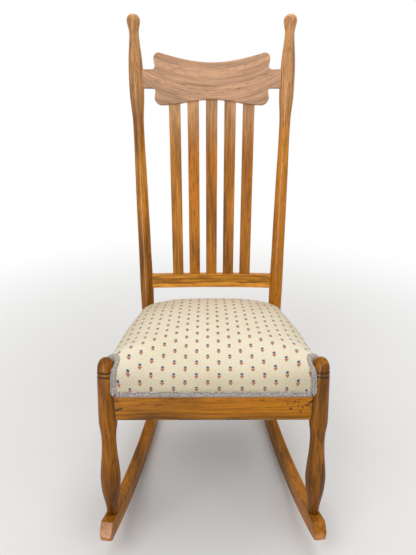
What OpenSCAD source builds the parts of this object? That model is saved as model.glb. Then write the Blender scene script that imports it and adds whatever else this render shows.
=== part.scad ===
// Rocking chair in turned oak, with a sprung and upholstered seat.
// The origin is on the floor, under the middle of the rockers. X is to the right, Y to the back, Z up.

/* [Rockers] */
// Length of the rockers from tip to tip, along the depth of the chair
rocker_l = 626; // [590:1:680]
// Width of a rocker board
rocker_w = 26.6; // [24:0.2:34]
// Height of a rocker board
rocker_h = 38.5; // [34:0.5:46]
// Radius of the bottom edge
rocker_r = 826; // [760:1:1000]
// How far the lowest point of the rockers lies behind their middle
rocker_low = 23; // [0:1:40]
// From the middle of a front foot to the tip of the toe
toe_reach = 51; // [44:1:70]
// Length of the slanted face at each end of a rocker
toe_l = 20; // [12:1:30]
// Radius of the nose at each end of a rocker, seen from the side
toe_r = 7.5; // [5:0.5:10]
// Rounding of the toe's corners, seen from above
toe_round = 8; // [4:0.5:12]
// How far a rocker's middle line lies outside the foot of its back post
rocker_outset = 2.2; // [0:0.1:4]

/* [Stance] */
// Distance between the front feet, from middle to middle
front_feet = 437.4; // [400:0.2:470]
// Angle by which the front legs lean in towards their tops
front_splay = 2.05; // [0:0.05:4]
// Angle by which the seat tips to the back
seat_tilt = 8.2; // [5:0.1:11]
// From a front foot up to the seat's plane, along the leg
leg_under = 309; // [280:1:330]
// From the front legs' middles to the back posts' middles, along the seat
seat_depth = 360.5; // [330:0.5:390]
// Distance between the middles of the back posts at the seat
posts_apart = 352; // [330:1:370]
// Angle by which the back posts spread towards their tops
post_splay = 0.33; // [0:0.01:1]
// Angle by which the back leans further than square to the seat
post_lean = 0.9; // [0:0.1:4]

/* [Turnings] */
// Height of a front leg's top above the seat's plane
leg_over = 66.4; // [55:0.2:80]
// Widest diameter of a front leg
leg_d = 41; // [36:0.5:44]
// Height of the dome on a front leg
leg_dome_h = 24; // [14:0.5:30]
// Radius of the scribed rings on a front leg
ring_r = 1.6; // [0.8:0.1:2]
// Distance between the two scribed rings
ring_gap = 8.9; // [6:0.1:10]
// From the seat's plane up to the lower scribed ring
ring_up = 31.4; // [16:0.2:36]
// Height of a back post's top above the seat's plane
post_over = 740; // [680:1:800]
// Widest diameter of a back post at the crest rail
post_d = 34.7; // [32:0.1:38]
// Height of the dome on a finial
finial_dome_h = 14.2; // [10:0.2:18]
// Diameter of the round tenons that enter the rockers
foot_tenon_d = 15; // [12:0.5:17]
// Length of the round tenons in the rockers
foot_tenon_l = 23; // [16:0.5:26]
// Diameter of the pins that lock those tenons
pin_d = 5; // [3:0.5:6]
// Depth of a pin's middle under the rocker's top
pin_down = 11; // [8:0.5:14]

/* [Seat frame] */
// Height of the seat rails
rail_h = 64; // [58:1:84]
// Thickness of the seat rails
rail_t = 21; // [18:0.5:24]
// Thickness of the rails' tenons
tenon_t = 8; // [6:0.5:9]
// Height left above and below a tenon
tenon_shoulder = 10; // [6:1:16]
// How near a tenon comes to the middle of its leg or post
tenon_stop = 6.5; // [6:0.5:9]
// Diameter of the wooden plug in the front rail
plug_d = 6; // [4:0.5:9]
// Depth of the plug
plug_l = 9; // [6:0.5:14]
// From the middle of the front rail to the plug
plug_x = 151; // [120:1:165]
// From the seat's plane down to the plug
plug_down = 40.3; // [34:0.1:56]
// Length of a corner block along each rail
block_l = 64; // [56:1:76]
// Height of a corner block
block_h = 34; // [26:1:44]
// From the seat's plane down to the top of a corner block
block_down = 20; // [14:1:26]
// Diameter of the screws in the corner blocks
screw_d = 4.4; // [3.4:0.1:5]
// Diameter of a screw's head
screw_head_d = 8.6; // [7.4:0.1:10]

/* [Back] */
// Thickness of the crest rail and of the lower back rail
back_rail_t = 18; // [15:0.5:21]
// How far the back rails bow to the rear at their middles
back_bow = 9; // [6:0.5:14]
// Height of the lower back rail
low_rail_h = 37; // [32:0.5:44]
// From the seat's plane up to the lower back rail
low_rail_up = 85; // [74:1:100]
// Width of the crest rail's shaped body
crest_w = 274; // [250:1:280]
// From the seat's plane up to the tops of the crest rail's corners
crest_up = 661; // [640:1:690]
// Height of the crest rail at its corners
crest_h = 113; // [104:1:122]
// How far the crest's top edge dips at its middle
crest_dip = 20; // [10:0.5:26]
// How far the crest's bottom edge rises at its middle
crest_arch = 13; // [6:0.5:20]
// Height of the tongues that join the crest rail to the posts
tongue_h = 40; // [34:0.5:48]
// From the tops of the crest rail's corners down to its tongues
tongue_down = 36; // [32:0.5:40]
// Radius of the crest rail's top corners
crest_top_r = 13; // [9:0.5:15]
// Radius of the crest rail's bottom corners
crest_low_r = 15; // [10:0.5:17]
// Radius of the hollows beside the tongues
crest_hollow_r = 7; // [4:0.5:9]
// Number of slats in the back
slat_n = 5; // [5]
// Width of a slat
slat_w = 28.2; // [22:0.2:34]
// Thickness of a slat
slat_t = 8; // [6:0.5:10]
// Distance from slat to slat, from middle to middle
slat_pitch = 45.1; // [40:0.1:50]
// Depth of the slats' mortises
slat_in = 11; // [8:0.5:14]

/* [Upholstery] */
// Height of the cushion's crown above the seat's plane
crown_h = 74; // [50:0.5:80]
// How far the cushion swells out over the side rails
side_swell = 7; // [4:0.5:14]
// How far the cushion swells out over the rear rail
rear_swell = 5; // [2:0.5:9]
// Height at which the sides swell most
swell_h = 21; // [14:0.5:28]
// Thickness of the cover with its wadding
cover_t = 1.6; // [1.2:0.1:2.4]
// How far the cover laps down over the rails
cover_lap = 11; // [8:0.5:18]
// Width of the gimp
gimp_w = 12; // [10:0.1:16]
// Thickness of the gimp
gimp_t = 1.8; // [1.2:0.1:2.6]
// Diameter of the heads of the two tacks at the ends of the front gimp
gimp_tack_d = 3.8; // [3:0.1:6]
// From the ends of the front gimp to those tacks
gimp_tack_in = 5.5; // [4:0.5:9]
// Height of the burlap at its middle, above the rails
burlap_h = 30; // [20:1:38]
// Thickness of the burlap
burlap_t = 1.2; // [0.8:0.1:1.8]
// Width of the webbing
web_w = 50; // [40:1:58]
// Thickness of the webbing
web_t = 1.6; // [1.2:0.1:2.4]
// Diameter of a seat spring at its ends
spring_d = 70; // [56:1:76]
// Diameter of a seat spring at its waist
spring_waist_d = 46; // [36:1:54]
// Diameter of the spring wire
wire_d = 3.4; // [2.6:0.1:4]
// Thickness of the dust cover
dust_t = 1; // [0.8:0.1:1.5]
// Diameter of a tack's head
tack_d = 7; // [5:0.5:8]
// Thickness of a tack's head
tack_h = 0.9; // [0.7:0.1:1.3]
// Diameter of a tack's shank
shank_d = 1.8; // [1.4:0.1:2.2]
// Length of a tack's shank
shank_l = 9; // [7:0.5:12]

/* [Clearances] */
// Gap round tenons, pins and screws
fit_gap = 0.15; // [0.1:0.01:0.3]
// Gap between pieces that lie against each other
seat_gap = 0.3; // [0.2:0.05:0.5]

/* [Hidden] */
left = -1;
right = 1;

// Overrun of every cut past the face it leaves
over = rail_t / 10;
// Facets of turned work, of the wide arcs and of small round work
turned_fn = 64;
arc_fn = 720;
small_fn = 24;
oak = "peru";

// Rocker curve: the bottom edge has radius rocker_r and touches the floor at low_y
front_foot_x = front_feet / 2;
front_foot_y = toe_reach - rocker_l / 2;
low_y = rocker_low;
top_r = rocker_r - rocker_h;
// Height of a rocker's top edge at a place along the chair, for a board turned in by the angle
function top_at(y, angle) = rocker_r - sqrt(pow(top_r, 2) - pow((y - low_y) / cos(angle), 2));
// Place of a point in the plane of symmetry that is given along and square to the seat
function seat_y(along, up, o) = o[0] + along * cos(seat_tilt) + up * sin(seat_tilt);
function seat_z(along, up, o) = o[1] - along * sin(seat_tilt) + up * cos(seat_tilt);
// Origin of the seat's frame, on the plane of the front legs' middles and the rails' tops
function seat_origin(angle) = [front_foot_y + leg_under * sin(seat_tilt),
    top_at(front_foot_y, angle) + leg_under * cos(seat_tilt)];
// Length of a back post under the seat's plane, found in a few steps from a first guess
post_angle = seat_tilt + post_lean;
function post_drop(o, angle, drop, steps) = steps == 0 ? drop : post_drop(o, angle,
    (seat_z(seat_depth, 0, o) - top_at(seat_y(seat_depth, 0, o) - drop * sin(post_angle), angle))
        / cos(post_angle),
    steps - 1);
post_x = posts_apart / 2;
function rear_foot_x(drop) = post_x - drop * tan(post_splay);
function rear_foot_y(o, drop) = seat_y(seat_depth, 0, o) - drop * sin(post_angle);
// The toe-in of the rockers, from the feet as they stand on boards that aren't turned in
rough_origin = seat_origin(0);
rough_drop = post_drop(rough_origin, 0, leg_under, 4);
toe_in = atan((front_foot_x - rear_foot_x(rough_drop) - rocker_outset)
    / (rear_foot_y(rough_origin, rough_drop) - front_foot_y));
origin = seat_origin(toe_in);
post_under = post_drop(origin, toe_in, leg_under, 4);
rear_y = rear_foot_y(origin, post_under);
low_x = front_foot_x - (low_y - front_foot_y) * tan(toe_in);

// Frames: each places its children from its own frame into the chair's
module seat_frame() { translate([0, origin[0], origin[1]]) rotate([-seat_tilt, 0, 0]) children(); }
module back_frame() { seat_frame() translate([0, seat_depth, 0]) rotate([-post_lean, 0, 0]) children(); }
module rocker_frame(side) { translate([side * low_x, low_y, 0]) rotate([0, 0, side * toe_in]) children(); }
module leg_frame(side) {
    seat_frame() translate([side * leg_x, 0, 0]) rotate([0, -side * front_splay, 0]) children();
}
module post_frame(side) {
    back_frame() translate([side * post_x, 0, 0]) rotate([0, side * post_splay, 0]) children();
}

// Turned outlines: shares of the whole length, and of the widest diameter
leg_shares = [
    [-0.03, 0.537], [0.025, 0.544], [0.05, 0.572], [0.0756, 0.637], [0.118, 0.764], [0.161, 0.891],
    [0.219, 0.981], [0.262, 1], [0.302, 0.963], [0.355, 0.884], [0.403, 0.794], [0.451, 0.741],
    [0.491, 0.72], [0.526, 0.722], [0.567, 0.778], [0.597, 0.856], [0.63, 0.892], [0.69, 0.889],
    [0.76, 0.87], [0.84, 0.842], [0.93, 0.805], [0.96, 0.79]
];
post_shares = [
    [-0.02, 0.635], [0.018, 0.66], [0.045, 0.86], [0.07, 1.02], [0.094, 1.07], [0.12, 1], [0.15, 0.88],
    [0.178, 0.835], [0.2, 0.86], [0.22, 0.93], [0.245, 0.965], [0.295, 0.985], [0.345, 0.995],
    [0.375, 1.01], [0.41, 0.985], [0.44, 0.965], [0.47, 0.935], [0.55, 0.905], [0.6, 0.875],
    [0.65, 0.84], [0.685, 0.805], [0.72, 0.768], [0.745, 0.755], [0.77, 0.757], [0.787, 0.775],
    [0.807, 0.857], [0.827, 0.953], [0.845, 0.995], [0.861, 1], [0.877, 0.992], [0.89, 0.975],
    [0.9015, 0.945], [0.914, 0.896], [0.926, 0.828], [0.938, 0.745], [0.95, 0.68], [0.961, 0.636],
    [0.9694, 0.67], [0.975, 0.745], [0.98, 0.816], [0.985, 0.87]
];
leg_length = leg_under / cos(front_splay) + leg_over;
post_length = post_under / cos(post_splay) + post_over;
leg_x = front_foot_x - leg_under * tan(front_splay);
// A smooth curve through a table of [place, value], by cubic pieces with the table's own slopes
function slope(t, i) = let (a = max(i - 1, 0), b = min(i + 1, len(t) - 1))
    (t[b][1] - t[a][1]) / (t[b][0] - t[a][0]);
function piece(t, u, i = 0) = i >= len(t) - 2 || u <= t[i + 1][0] ? i : piece(t, u, i + 1);
function smooth(t, u) = let (
    i = piece(t, u),
    h = t[i + 1][0] - t[i][0],
    s = (u - t[i][0]) / h
) t[i][1] * (1 + 2 * s) * pow(1 - s, 2) + t[i + 1][1] * s * s * (3 - 2 * s)
    + h * slope(t, i) * s * pow(1 - s, 2) - h * slope(t, i + 1) * s * s * (1 - s);
// Radius of a leg or a post at a height from the seat's plane, along it
function leg_r(z) = leg_d / 2 * smooth(leg_shares, (z + leg_length - leg_over) / leg_length);
function post_r(z) = post_d / 2 * smooth(post_shares, (z + post_length - post_over) / post_length);
// A quarter of an oval that closes a turning: its steps run from the rim to the top
dome_steps = 7;
function dome(r, z, h) = [for (i = [1:dome_steps - 1]) let (a = i * 90 / dome_steps)
    [r * pow(cos(a), 0.9), z + h * sin(a)]];

module turning(bottom, top, dome_h, radii, steps) {
    z_end = top - dome_h;
    points = [for (i = [0:steps]) let (z = bottom + (z_end - bottom) * i / steps) [radii[i], z]];
    rotate_extrude($fn = turned_fn)
        polygon(concat([[0, bottom]], points, dome(radii[steps], z_end, dome_h), [[0, top]]));
}
leg_steps = 34;
post_steps = 62;
leg_bottom = -leg_length + leg_over - leg_d / 4;
post_bottom = -post_length + post_over - post_d / 4;
leg_end = leg_over - leg_dome_h;
post_end = post_over - finial_dome_h;
leg_radii = [for (i = [0:leg_steps]) leg_r(leg_bottom + (leg_end - leg_bottom) * i / leg_steps)];
post_radii = [for (i = [0:post_steps]) post_r(post_bottom + (post_end - post_bottom) * i / post_steps)];

// The space above a rocker's top edge, in the rocker's frame
module above_rocker(gap) {
    translate([0, 0, rocker_r]) rotate([0, 90, 0])
        cylinder(r = top_r - gap, h = 4 * rocker_w, center = true, $fn = arc_fn);
    translate([-2 * rocker_w, -rocker_l, rocker_r - top_r / 2])
        cube([4 * rocker_w, 2 * rocker_l, 2 * rocker_r]);
}
// The round tenon on a foot, or its socket, reaching from inside the leg down into the rocker
module foot_tenon(length, foot, gap) {
    translate([0, 0, -length - foot_tenon_l - gap])
        cylinder(d = foot_tenon_d + 2 * gap, h = foot_tenon_l + foot, $fn = turned_fn);
}
// A locking pin across a rocker, or its hole
module rocker_pin(side, y, length, gap) {
    along = (y - low_y) / cos(toe_in);
    down = top_r + pin_down;
    rocker_frame(side)
        translate([0, down * along / top_r, rocker_r - down * sqrt(1 - pow(along / top_r, 2))])
            rotate([0, 90, 0]) cylinder(d = pin_d + 2 * gap, h = length, center = true, $fn = small_fn);
}

// Tenons of the seat rails, in the frame of a rail that runs along X from its own middle
tenon_h = rail_h - 2 * tenon_shoulder;
mid_z = -rail_h / 2;
leg_mid_x = leg_x + rail_h / 2 * tan(front_splay);
post_mid_x = post_x - rail_h / 2 * tan(post_splay);
post_mid_y = seat_depth - rail_h / 2 * tan(post_lean);
side_angle = atan((leg_mid_x - post_mid_x) / post_mid_y);
side_length = sqrt(pow(leg_mid_x - post_mid_x, 2) + pow(post_mid_y, 2));
module rail_tenon(from, to, gap) {
    translate([from - gap, -tenon_t / 2 - gap, mid_z - tenon_h / 2 - gap])
        cube([to - from + 2 * gap, tenon_t + 2 * gap, tenon_h + 2 * gap]);
}
module front_rail_tenon(side, gap) {
    scale_side(side) rail_tenon(front_rail_in, leg_mid_x - tenon_stop, gap);
}
module rear_rail_tenon(side, gap) {
    scale_side(side) translate([0, post_mid_y, 0]) rail_tenon(rear_rail_in, post_mid_x - tenon_stop, gap);
}
module side_rail_frame(side) {
    translate([side * leg_mid_x, 0, 0]) rotate([0, 0, 90 + side * side_angle]) children();
}
module side_rail_tenons(side, gap) {
    side_rail_frame(side) {
        rail_tenon(tenon_stop, side_rail_in, gap);
        rail_tenon(side_length - side_rail_in, side_length - tenon_stop, gap);
    }
}
module scale_side(side) { if (side == left) mirror([1, 0, 0]) children(); else children(); }
front_rail_in = leg_mid_x - leg_d;
rear_rail_in = post_mid_x - post_d;
side_rail_in = leg_d;

// Leg and post stretches beside the rails, that the rails' shoulders are cut to fit
module leg_cope(side, gap) {
    leg_frame(side) translate([0, 0, -rail_h - over])
        cylinder(
            r1 = leg_r(-rail_h - over) + gap, r2 = leg_r(over) + gap, h = rail_h + 2 * over, $fn = turned_fn);
}
module post_cope(side, low, high, gap) {
    post_frame(side) translate([0, 0, low - over])
        cylinder(
            r1 = post_r(low - over) + gap, r2 = post_r(high + over) + gap, h = high - low + 2 * over,
            $fn = turned_fn);
}

// Corner blocks and their screws, each in a frame at the middle of its leg or post
block_room = leg_d / 2 + 3 * seat_gap;
screw_in = tenon_stop + screw_d;
screw_l = block_l / sqrt(2) - screw_in;
// Angle of a screw, square to the block's long face, for the right side
front_screw_angle = 135;
rear_screw_angle = -135;
module screw(gap, sink) {
    translate([0, 0, screw_in]) cylinder(d = screw_d + 2 * gap, h = screw_l + sink, $fn = small_fn);
    translate([0, 0, screw_in + screw_l - screw_head_d / 2])
        cylinder(d1 = screw_d + 2 * gap, d2 = screw_head_d + 2 * gap, h = screw_head_d / 2, $fn = small_fn);
    if (sink > 0) translate([0, 0, screw_in + screw_l - sink / 10])
        cylinder(d = screw_head_d + 2 * gap, h = sink, $fn = small_fn);
}
block_mid_z = -block_down - block_h / 2;
module block_screw(side, rear, gap, sink) {
    x = rear ? post_mid_x : leg_mid_x;
    y = rear ? post_mid_y : 0;
    scale_side(side) translate([x, y, block_mid_z])
        rotate([0, 0, rear ? rear_screw_angle : front_screw_angle]) rotate([0, 90, 0]) screw(gap, sink);
}

// Turned front leg, cut at the foot to sit on its rocker
module front_leg(side) {
    color(oak) difference() {
        union() {
            intersection() {
                leg_frame(side) turning(leg_bottom, leg_over, leg_dome_h, leg_radii, leg_steps);
                rocker_frame(side) above_rocker(fit_gap);
            }
            leg_frame(side) foot_tenon(leg_length - leg_over, leg_d / 2, 0);
        }
        for (z = [ring_up, ring_up + ring_gap])
            leg_frame(side) translate([0, 0, z]) rotate_extrude($fn = turned_fn)
                translate([leg_r(z) + ring_r / 4, 0]) circle(r = ring_r, $fn = small_fn);
        seat_frame() front_rail_tenon(side, fit_gap);
        seat_frame() side_rail_tenons(side, fit_gap);
        seat_frame() block_screw(side, false, fit_gap, 0);
        rocker_pin(side, front_foot_y, 2 * rocker_w, fit_gap);
    }
}
// Turned back post, from its finial down to its rocker
module back_post(side) {
    color(oak) difference() {
        union() {
            intersection() {
                post_frame(side) turning(post_bottom, post_over, finial_dome_h, post_radii, post_steps);
                rocker_frame(side) above_rocker(fit_gap);
            }
            post_frame(side) foot_tenon(post_length - post_over, post_d / 2, 0);
        }
        seat_frame() rear_rail_tenon(side, fit_gap);
        seat_frame() side_rail_tenons(side, fit_gap);
        seat_frame() block_screw(side, true, fit_gap, 0);
        back_frame() low_rail_tenon(side, fit_gap);
        back_frame() crest_tenon(side, fit_gap);
        rocker_pin(side, rear_y, 2 * rocker_w, fit_gap);
    }
}
// Curved rocker board: an arc of even height whose ends slant down to blunt, rounded toes
rocker_run = rocker_l / 2 / cos(toe_in) - rocker_w / 2 * tan(toe_in);
run_mid = -low_y / cos(toe_in);
function toe_top(y) = rocker_r - sqrt(pow(top_r, 2) - y * y);
// Outline of one end, seen from the side: its slanted face, then the round of its nose to the bottom
nose_steps = 6;
function toe_points(end) = let (
    tip = run_mid + end * rocker_run,
    crease = [tip - end * toe_l, toe_top(tip - end * toe_l)],
    cy = tip - end * toe_r,
    cz = rocker_r - sqrt(pow(rocker_r - toe_r, 2) - cy * cy),
    low = -90 + asin(abs(cy) / (rocker_r - toe_r)),
    nose = [for (i = [0:nose_steps]) let (a = 40 + (low - 40) * i / nose_steps)
        [cy + end * toe_r * cos(a), cz + toe_r * sin(a)]]
) concat([crease + (crease - nose[0]) * 0.3], nose, [
    nose[nose_steps] + [end * toe_r * sin(low), -toe_r * cos(low)] * 0.5,
    [run_mid + end * rocker_run * 0.8, -over]
]);
module rocker(side) {
    front = toe_points(left);
    rear = toe_points(right);
    reverse_rear = [for (i = [len(rear) - 1:-1:0]) rear[i]];
    width = rocker_w / 2;
    half = rocker_run;
    plan = [for (sx = [1, -1]) for (sy = [sx, -sx]) for (i = [0:4]) let (a = (sy * sx > 0 ? 4 - i : i) * 22.5)
        [sx * (width - toe_round + toe_round * cos(a)),
            run_mid + sy * (half - toe_round + toe_round * sin(a))]];
    color(oak) difference() {
        rocker_frame(side) intersection() {
            difference() {
                translate([0, 0, rocker_r]) rotate([0, 90, 0])
                    cylinder(r = rocker_r, h = 2 * rocker_w, center = true, $fn = arc_fn);
                translate([0, 0, rocker_r]) rotate([0, 90, 0])
                    cylinder(r = top_r, h = 3 * rocker_w, center = true, $fn = arc_fn);
            }
            rotate([90, 0, 90]) linear_extrude(height = 4 * rocker_w, center = true)
                polygon(concat(front, reverse_rear));
            translate([0, 0, -over]) linear_extrude(height = rocker_r / 2) polygon(plan);
        }
        leg_frame(side) foot_tenon(leg_length - leg_over, leg_d, fit_gap);
        post_frame(side) foot_tenon(post_length - post_over, post_d, fit_gap);
        rocker_pin(side, front_foot_y, 2 * rocker_w, fit_gap);
        rocker_pin(side, rear_y, 2 * rocker_w, fit_gap);
    }
}
module rocker_pins() {
    color("saddlebrown") for (side = [left, right]) for (y = [front_foot_y, rear_y])
        rocker_pin(side, y, rocker_w, 0);
}

// Seat rails, with their shoulders cut to the round legs and posts
module rail_board(half) { translate([-half, -rail_t / 2, -rail_h]) cube([2 * half, rail_t, rail_h]); }
module tack_holes() {
    webbing_tack_places() tack_shank(fit_gap);
    dust_tack_places() tack_shank(fit_gap);
}
module front_seat_rail() {
    color(oak) seat_frame() union() {
        difference() {
            rail_board(leg_mid_x);
            for (side = [left, right])
                rotate([seat_tilt, 0, 0]) translate([0, -origin[0], -origin[1]]) leg_cope(side, fit_gap);
            translate([plug_x, -rail_t / 2 - over, -plug_down]) rotate([-90, 0, 0])
                cylinder(d = plug_d + 2 * fit_gap, h = plug_l + over + fit_gap, $fn = small_fn);
            tack_holes();
        }
        for (side = [left, right]) front_rail_tenon(side, 0);
    }
}
module rail_plug() {
    color("tan") seat_frame() translate([plug_x, -rail_t / 2, -plug_down]) rotate([-90, 0, 0])
        cylinder(d = plug_d, h = plug_l, $fn = small_fn);
}
module rear_seat_rail() {
    color(oak) union() {
        difference() {
            seat_frame() translate([0, post_mid_y, 0]) rail_board(post_mid_x);
            for (side = [left, right]) post_cope(side, -rail_h, 0, fit_gap);
            seat_frame() tack_holes();
        }
        seat_frame() for (side = [left, right]) rear_rail_tenon(side, 0);
    }
}
module side_seat_rail(side) {
    color(oak) union() {
        difference() {
            seat_frame() side_rail_frame(side) translate([side_length / 2, 0, 0]) rail_board(side_length / 2);
            leg_cope(side, fit_gap);
            post_cope(side, -rail_h, 0, fit_gap);
            seat_frame() tack_holes();
        }
        seat_frame() side_rail_tenons(side, 0);
    }
}
// Corner block: a three-sided block glued into a corner of the seat frame and coped round its leg or post
module corner_block(side, rear) {
    turn = rear ? -90 - side_angle : side_angle;
    x = rear ? post_mid_x : leg_mid_x;
    y = rear ? post_mid_y : 0;
    face = rail_t / 2 + fit_gap;
    // The two inner faces of the rails meet here, seen from the middle of the leg or post
    corner = rear ? [-(face - face * sin(side_angle)) / cos(side_angle), -face]
        : [-(face + face * sin(side_angle)) / cos(side_angle), face];
    along = rear ? [sin(side_angle), -cos(side_angle)] : [-sin(side_angle), cos(side_angle)];
    color("burlywood") seat_frame() scale_side(side) difference() {
        translate([x, y, -block_down - block_h]) linear_extrude(height = block_h)
            polygon([corner, corner + [-block_l, 0], corner + along * block_l]);
        translate([x, y, -block_down - block_h - over])
            cylinder(r = block_room, h = block_h + 2 * over, $fn = turned_fn);
        block_screw(right, rear, fit_gap, block_l);
    }
}
module corner_block_screws() {
    color("dimgray") seat_frame() for (side = [left, right]) for (rear = [false, true])
        block_screw(side, rear, 0, 0);
}

// Back rails, cut from one upright bow so that the slats stand straight between them
back_half = post_x;
bow_r = (pow(back_half, 2) + pow(back_bow, 2)) / (2 * back_bow);
function bow_y(x) = sqrt(pow(bow_r, 2) - x * x) - bow_r + back_bow;
module bow(low, high) {
    translate([0, back_bow - bow_r, low]) difference() {
        cylinder(r = bow_r + back_rail_t / 2, h = high - low, $fn = arc_fn);
        translate([0, 0, -over])
            cylinder(r = bow_r - back_rail_t / 2, h = high - low + 2 * over, $fn = arc_fn);
    }
}
module back_tenon(side, low, high, from, gap) {
    x = post_x + (low + high) / 2 * tan(post_splay);
    scale_side(side) translate([from, -tenon_t / 2 - gap, low - gap])
        cube([x - tenon_stop - from + gap, tenon_t + 2 * gap, high - low + 2 * gap]);
}
module low_rail_tenon(side, gap) {
    back_tenon(side, low_rail_up + tenon_shoulder / 2, low_rail_up + low_rail_h - tenon_shoulder / 2,
        post_x - post_d * 0.6, gap);
}
tongue_top = crest_up - tongue_down;
tongue_low = tongue_top - tongue_h;
module crest_tenon(side, gap) {
    back_tenon(
        side, tongue_low + tenon_shoulder / 2, tongue_top - tenon_shoulder / 2, post_x - post_d * 0.5, gap);
}
module slat_space(i, gap) {
    x = (i - (slat_n + 1) / 2) * slat_pitch;
    low = low_rail_up + low_rail_h - slat_in;
    high = crest_up - crest_h + crest_low(x) + slat_in;
    translate([x, bow_y(x), low]) rotate([0, 0, -asin(x / bow_r)])
        translate([-slat_w / 2 - gap, -slat_t / 2 - gap, -gap])
            cube([slat_w + 2 * gap, slat_t + 2 * gap, high - low + 2 * gap]);
}
module lower_back_rail() {
    color(oak) union() {
        difference() {
            back_frame() intersection() {
                bow(low_rail_up, low_rail_up + low_rail_h);
                translate([-post_x, -rail_t, low_rail_up]) cube([2 * post_x, 3 * rail_t, low_rail_h]);
            }
            for (side = [left, right]) post_cope(side, low_rail_up, low_rail_up + low_rail_h, fit_gap);
            back_frame() for (i = [1:slat_n]) slat_space(i, fit_gap);
        }
        back_frame() for (side = [left, right]) low_rail_tenon(side, 0);
    }
}
// Crest outline: dipped top, arched bottom, round lobes at the corners and hollows beside the tongues
crest_half = crest_w / 2;
lobe_x = crest_half - crest_top_r;
foot_x = crest_half - crest_low_r;
// Height of the bottom edge above the bottom corners, and of the top edge above the tops' dip
function crest_low(x) = crest_arch * (1 + cos(180 * min(abs(x) / foot_x, 1))) / 2;
function crest_top(x) = crest_dip * (1 - cos(90 * min(abs(x) / lobe_x, 1)));
edge_steps = 18;
turn_steps = 6;
function arc(cx, cz, r, from, to) = [for (i = [0:turn_steps]) let (a = from + (to - from) * i / turn_steps)
    [cx + r * cos(a), cz + r * sin(a)]];
function flip(points) = [for (i = [len(points) - 1:-1:0]) [-points[i][0], points[i][1]]];
module crest_face() {
    base = crest_up - crest_h;
    top = crest_up;
    neck_x = crest_half - crest_hollow_r / 3;
    upper = concat(
        [for (i = [0:edge_steps - 1]) let (x = lobe_x * i / edge_steps) [x, top - crest_dip + crest_top(x)]],
        arc(lobe_x, top - crest_top_r, crest_top_r, 90, -20),
        arc(neck_x + crest_hollow_r, tongue_top + crest_hollow_r, crest_hollow_r, 180, 270)
    );
    lower = concat(
        arc(neck_x + crest_hollow_r, tongue_low - crest_hollow_r, crest_hollow_r, 90, 180),
        arc(foot_x, base + crest_low_r, crest_low_r, 20, -90),
        [for (i = [1:edge_steps]) let (x = foot_x * (1 - i / edge_steps)) [x, base + crest_low(x)]]
    );
    end = [[back_half, tongue_top], [back_half, tongue_low]];
    right_side = concat(upper, end, lower);
    left_side = [for (i = [1:len(right_side) - 2]) flip(right_side)[i]];
    polygon(concat(right_side, left_side));
}
module crest_rail() {
    color("burlywood") union() {
        difference() {
            back_frame() intersection() {
                bow(crest_up - crest_h - over, crest_up + over);
                rotate([90, 0, 0]) linear_extrude(height = 4 * back_rail_t, center = true) crest_face();
            }
            for (side = [left, right]) post_cope(side, tongue_low, tongue_top, fit_gap);
            back_frame() for (i = [1:slat_n]) slat_space(i, fit_gap);
        }
        back_frame() for (side = [left, right]) crest_tenon(side, 0);
    }
}
module slat(i) { color(oak) back_frame() slat_space(i, 0); }

// Webbing: strips under the rails, each passing over and under the strips that cross it
web_top = -rail_h - seat_gap;
web_step = web_t + seat_gap;
web_y0 = post_mid_y / 2;
// The strips' places share out the width and the depth of the seat frame
web_x_share = 0.247;
web_y_share = 0.2556;
web_pitch_x = (leg_mid_x + post_mid_x) * web_x_share;
web_pitch_y = post_mid_y * web_y_share;
function web_x(i) = (i - 2) * web_pitch_x;
function web_y(i) = (i - 2) * web_pitch_y;
// A strip seen from its side: flat over each crossing, with short slopes between them
function web_line(ends, centre, pitch, parity) = concat([[ends[0], 0]],
    [for (j = [1:3]) for (s = [-1, 1])
        [centre + (j - 2) * pitch + s * web_w * 0.54, (j + parity) % 2 == 0 ? 0 : -web_step]],
    [[ends[1], 0]]);
module web_strip(line) {
    lower = [for (i = [len(line) - 1:-1:0]) [line[i][0], line[i][1] - web_t]];
    rotate([90, 0, 0]) linear_extrude(height = web_w, center = true) polygon(concat(line, lower));
}
function side_x(y) = leg_mid_x - (leg_mid_x - post_mid_x) * y / post_mid_y;
module webbing_lengthwise() {
    ends = [-rail_t / 2 + over, post_mid_y + rail_t / 2 - over];
    color("darkkhaki") seat_frame() difference() {
        for (i = [1:3]) translate([web_x(i), 0, web_top]) rotate([0, 0, 90])
            web_strip(web_line(ends, web_y0, web_pitch_y, i));
        webbing_tack_places() tack_shank(fit_gap);
    }
}
module webbing_crosswise() {
    color("darkkhaki") seat_frame() difference() {
        for (i = [1:3]) let (y = web_y0 + web_y(i), end = side_x(y + web_w / 2) + rail_t / 3)
            translate([0, y, web_top]) web_strip(web_line([-end, end], 0, web_pitch_x, i + 1));
        webbing_tack_places() tack_shank(fit_gap);
    }
}
// A tack that points up, with the underside of its head at zero
module tack_shank(gap) { cylinder(d = shank_d + 2 * gap, h = shank_l + gap + over, $fn = small_fn); }
module tack(under) {
    translate([0, 0, -tack_h - under]) cylinder(d1 = tack_d * 0.7, d2 = tack_d, h = tack_h, $fn = small_fn);
    translate([0, 0, -under - tack_h / 2]) cylinder(d = shank_d, h = shank_l + under, $fn = small_fn);
}
tack_spread = web_w * 0.34;
module webbing_tack_places() {
    z = web_top - web_t;
    for (i = [1:3]) for (j = [-1:1]) {
        for (y = [0, post_mid_y])
            translate([web_x(i) + j * tack_spread, y + (j == 0 ? over : -over) / 2, z]) children();
        for (side = [left, right]) let (y = web_y0 + web_y(i) + j * tack_spread)
            translate([side * side_x(y), y, z]) children();
    }
}
module webbing_tacks() { color("black") seat_frame() webbing_tack_places() tack(seat_gap / 2); }

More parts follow.
